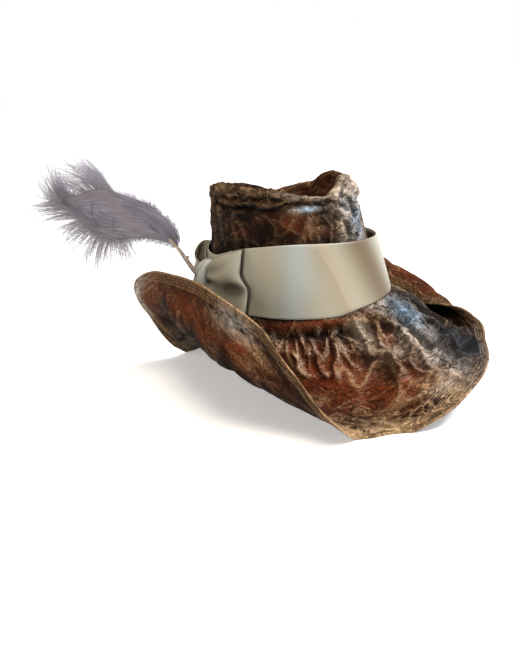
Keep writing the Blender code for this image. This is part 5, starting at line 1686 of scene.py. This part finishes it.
def make_floor():
    """A white floor that glows more away from the hat, as a studio sweep that is lit from below does."""
    mesh = bpy.data.meshes.new("floor")
    mesh.from_pydata([(-30, -30, 0), (30, -30, 0), (30, 30, 0), (-30, 30, 0)], [], [(0, 1, 2, 3)])
    material, tree, shader = shader_of("matt_white_paint")
    spot = add(tree, "ShaderNodeTexCoord", {}, {}, "Object")
    reach = add(tree, "ShaderNodeVectorMath", {"operation": "LENGTH"}, {0: spot}, "Value")
    rising = {0: reach, 1: GLOW_FROM, 2: GLOW_TO, 3: FLOOR_GLOW, 4: HORIZON_GLOW}
    glow = add(tree, "ShaderNodeMapRange", EASE, rising)
    tree.links.new(glow, shader.inputs["Emission Strength"])
    shader.inputs["Base Color"].default_value = linear("#f4f3f1")
    shader.inputs["Roughness"].default_value = 0.9
    shader.inputs["Specular IOR Level"].default_value = 0.1
    shader.inputs["Emission Color"].default_value = linear("#ffffff")
    mesh.materials.append(material)
    floor = bpy.data.objects.new("floor", mesh)
    floor.location.z = -0.0002
    bpy.context.scene.collection.objects.link(floor)
    return floor


floor = make_floor()
print("floor half width, m:", floor.dimensions.x / 2)

# %% [markdown]
# The light is that of a bright white room: a large cool window to the right, a warmer soft light above the
# camera, and a faint glow from the left. Area lamps give the soft edges of such light, where a point lamp
# would not.

# %% Hang the lights
def soft_light(name, offset, size, power, colour):
    """A square lamp that faces the middle of the crown."""
    lamp = bpy.data.lights.new(name, "AREA")
    lamp.shape, lamp.size, lamp.energy, lamp.color = "SQUARE", size, power, linear(colour)[:3]
    obj = bpy.data.objects.new(name, lamp)
    aim = Vector(MIDDLE)
    obj.location = aim + offset
    obj.rotation_euler = offset.to_track_quat("Z", "Y").to_euler()
    bpy.context.scene.collection.objects.link(obj)


up = Vector((0, 0, 1))
soft_light("window", level_right * 1.0 + back * 0.1 + up * 1.0, 0.45, 52, "#edf3ff")
soft_light("ceiling_front", back * 0.7 + up * 1.3 + level_right * 0.1, 0.8, 26, "#fff4e6")
soft_light("left_glow", -level_right * 1.3 + up * 0.3 + back * 0.5, 0.6, 5, "#fff2e6")

# %% [markdown]
# The room itself is the background: white low down, where it is seen behind the hat, and dimmer above, so
# that the lamps keep their say. The colours are shown as they are, without a film look.

# %% Whiten the room
# The band of wall ends between these heights of the view, and the rest has this share of its light
WALL_FADES, WALL_ENDS, CEILING_SHARE = 0.13, 0.24, 0.24


def white_room():
    """A room with a white band of wall behind the hat, low down, and a dimmer wall and ceiling above it."""
    world = bpy.data.worlds.new("room")
    world.use_nodes = True
    tree = world.node_tree
    toward = add(tree, "ShaderNodeTexCoord", {}, {}, "Generated")
    height = add(tree, "ShaderNodeSeparateXYZ", {}, {0: toward}, "Z")
    fade = {0: height, 1: WALL_FADES, 2: WALL_ENDS, 3: 1.0, 4: CEILING_SHARE}
    strength = add(tree, "ShaderNodeMapRange", EASE, fade)
    tree.links.new(strength, tree.nodes["Background"].inputs["Strength"])
    tree.nodes["Background"].inputs["Color"].default_value = linear("#ffffff")
    return world


bpy.context.scene.world = white_room()
bpy.context.scene.view_settings.view_transform = "Standard"
print("view:", bpy.context.scene.view_settings.view_transform)

# %% [markdown]
# Last, each piece is hung under the hat's root, and the imported solid that it stands for is hidden.

# %% Hang the pieces under the root and hide the imported solids
PIECES = (
    (brim, "brim", "brown_velvet"),
    (crown, "crown", "brown_velvet"),
    (band, "ribbon_band", "champagne_satin"),
    (loops[0], "bow_loop_near", "champagne_satin"),
    (loops[1], "bow_loop_far", "champagne_satin"),
    (knot, "bow_knot", "champagne_satin"),
    (plume, "feather", "mauve_barbs"),
    (leaf, "feather", "mauve_barbs"),
    (quill, "feather", "mauve_barbs"),
)
for piece, node, finish in PIECES:
    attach(piece, "root")
    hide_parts(node)

print("pieces:", len(PIECES))
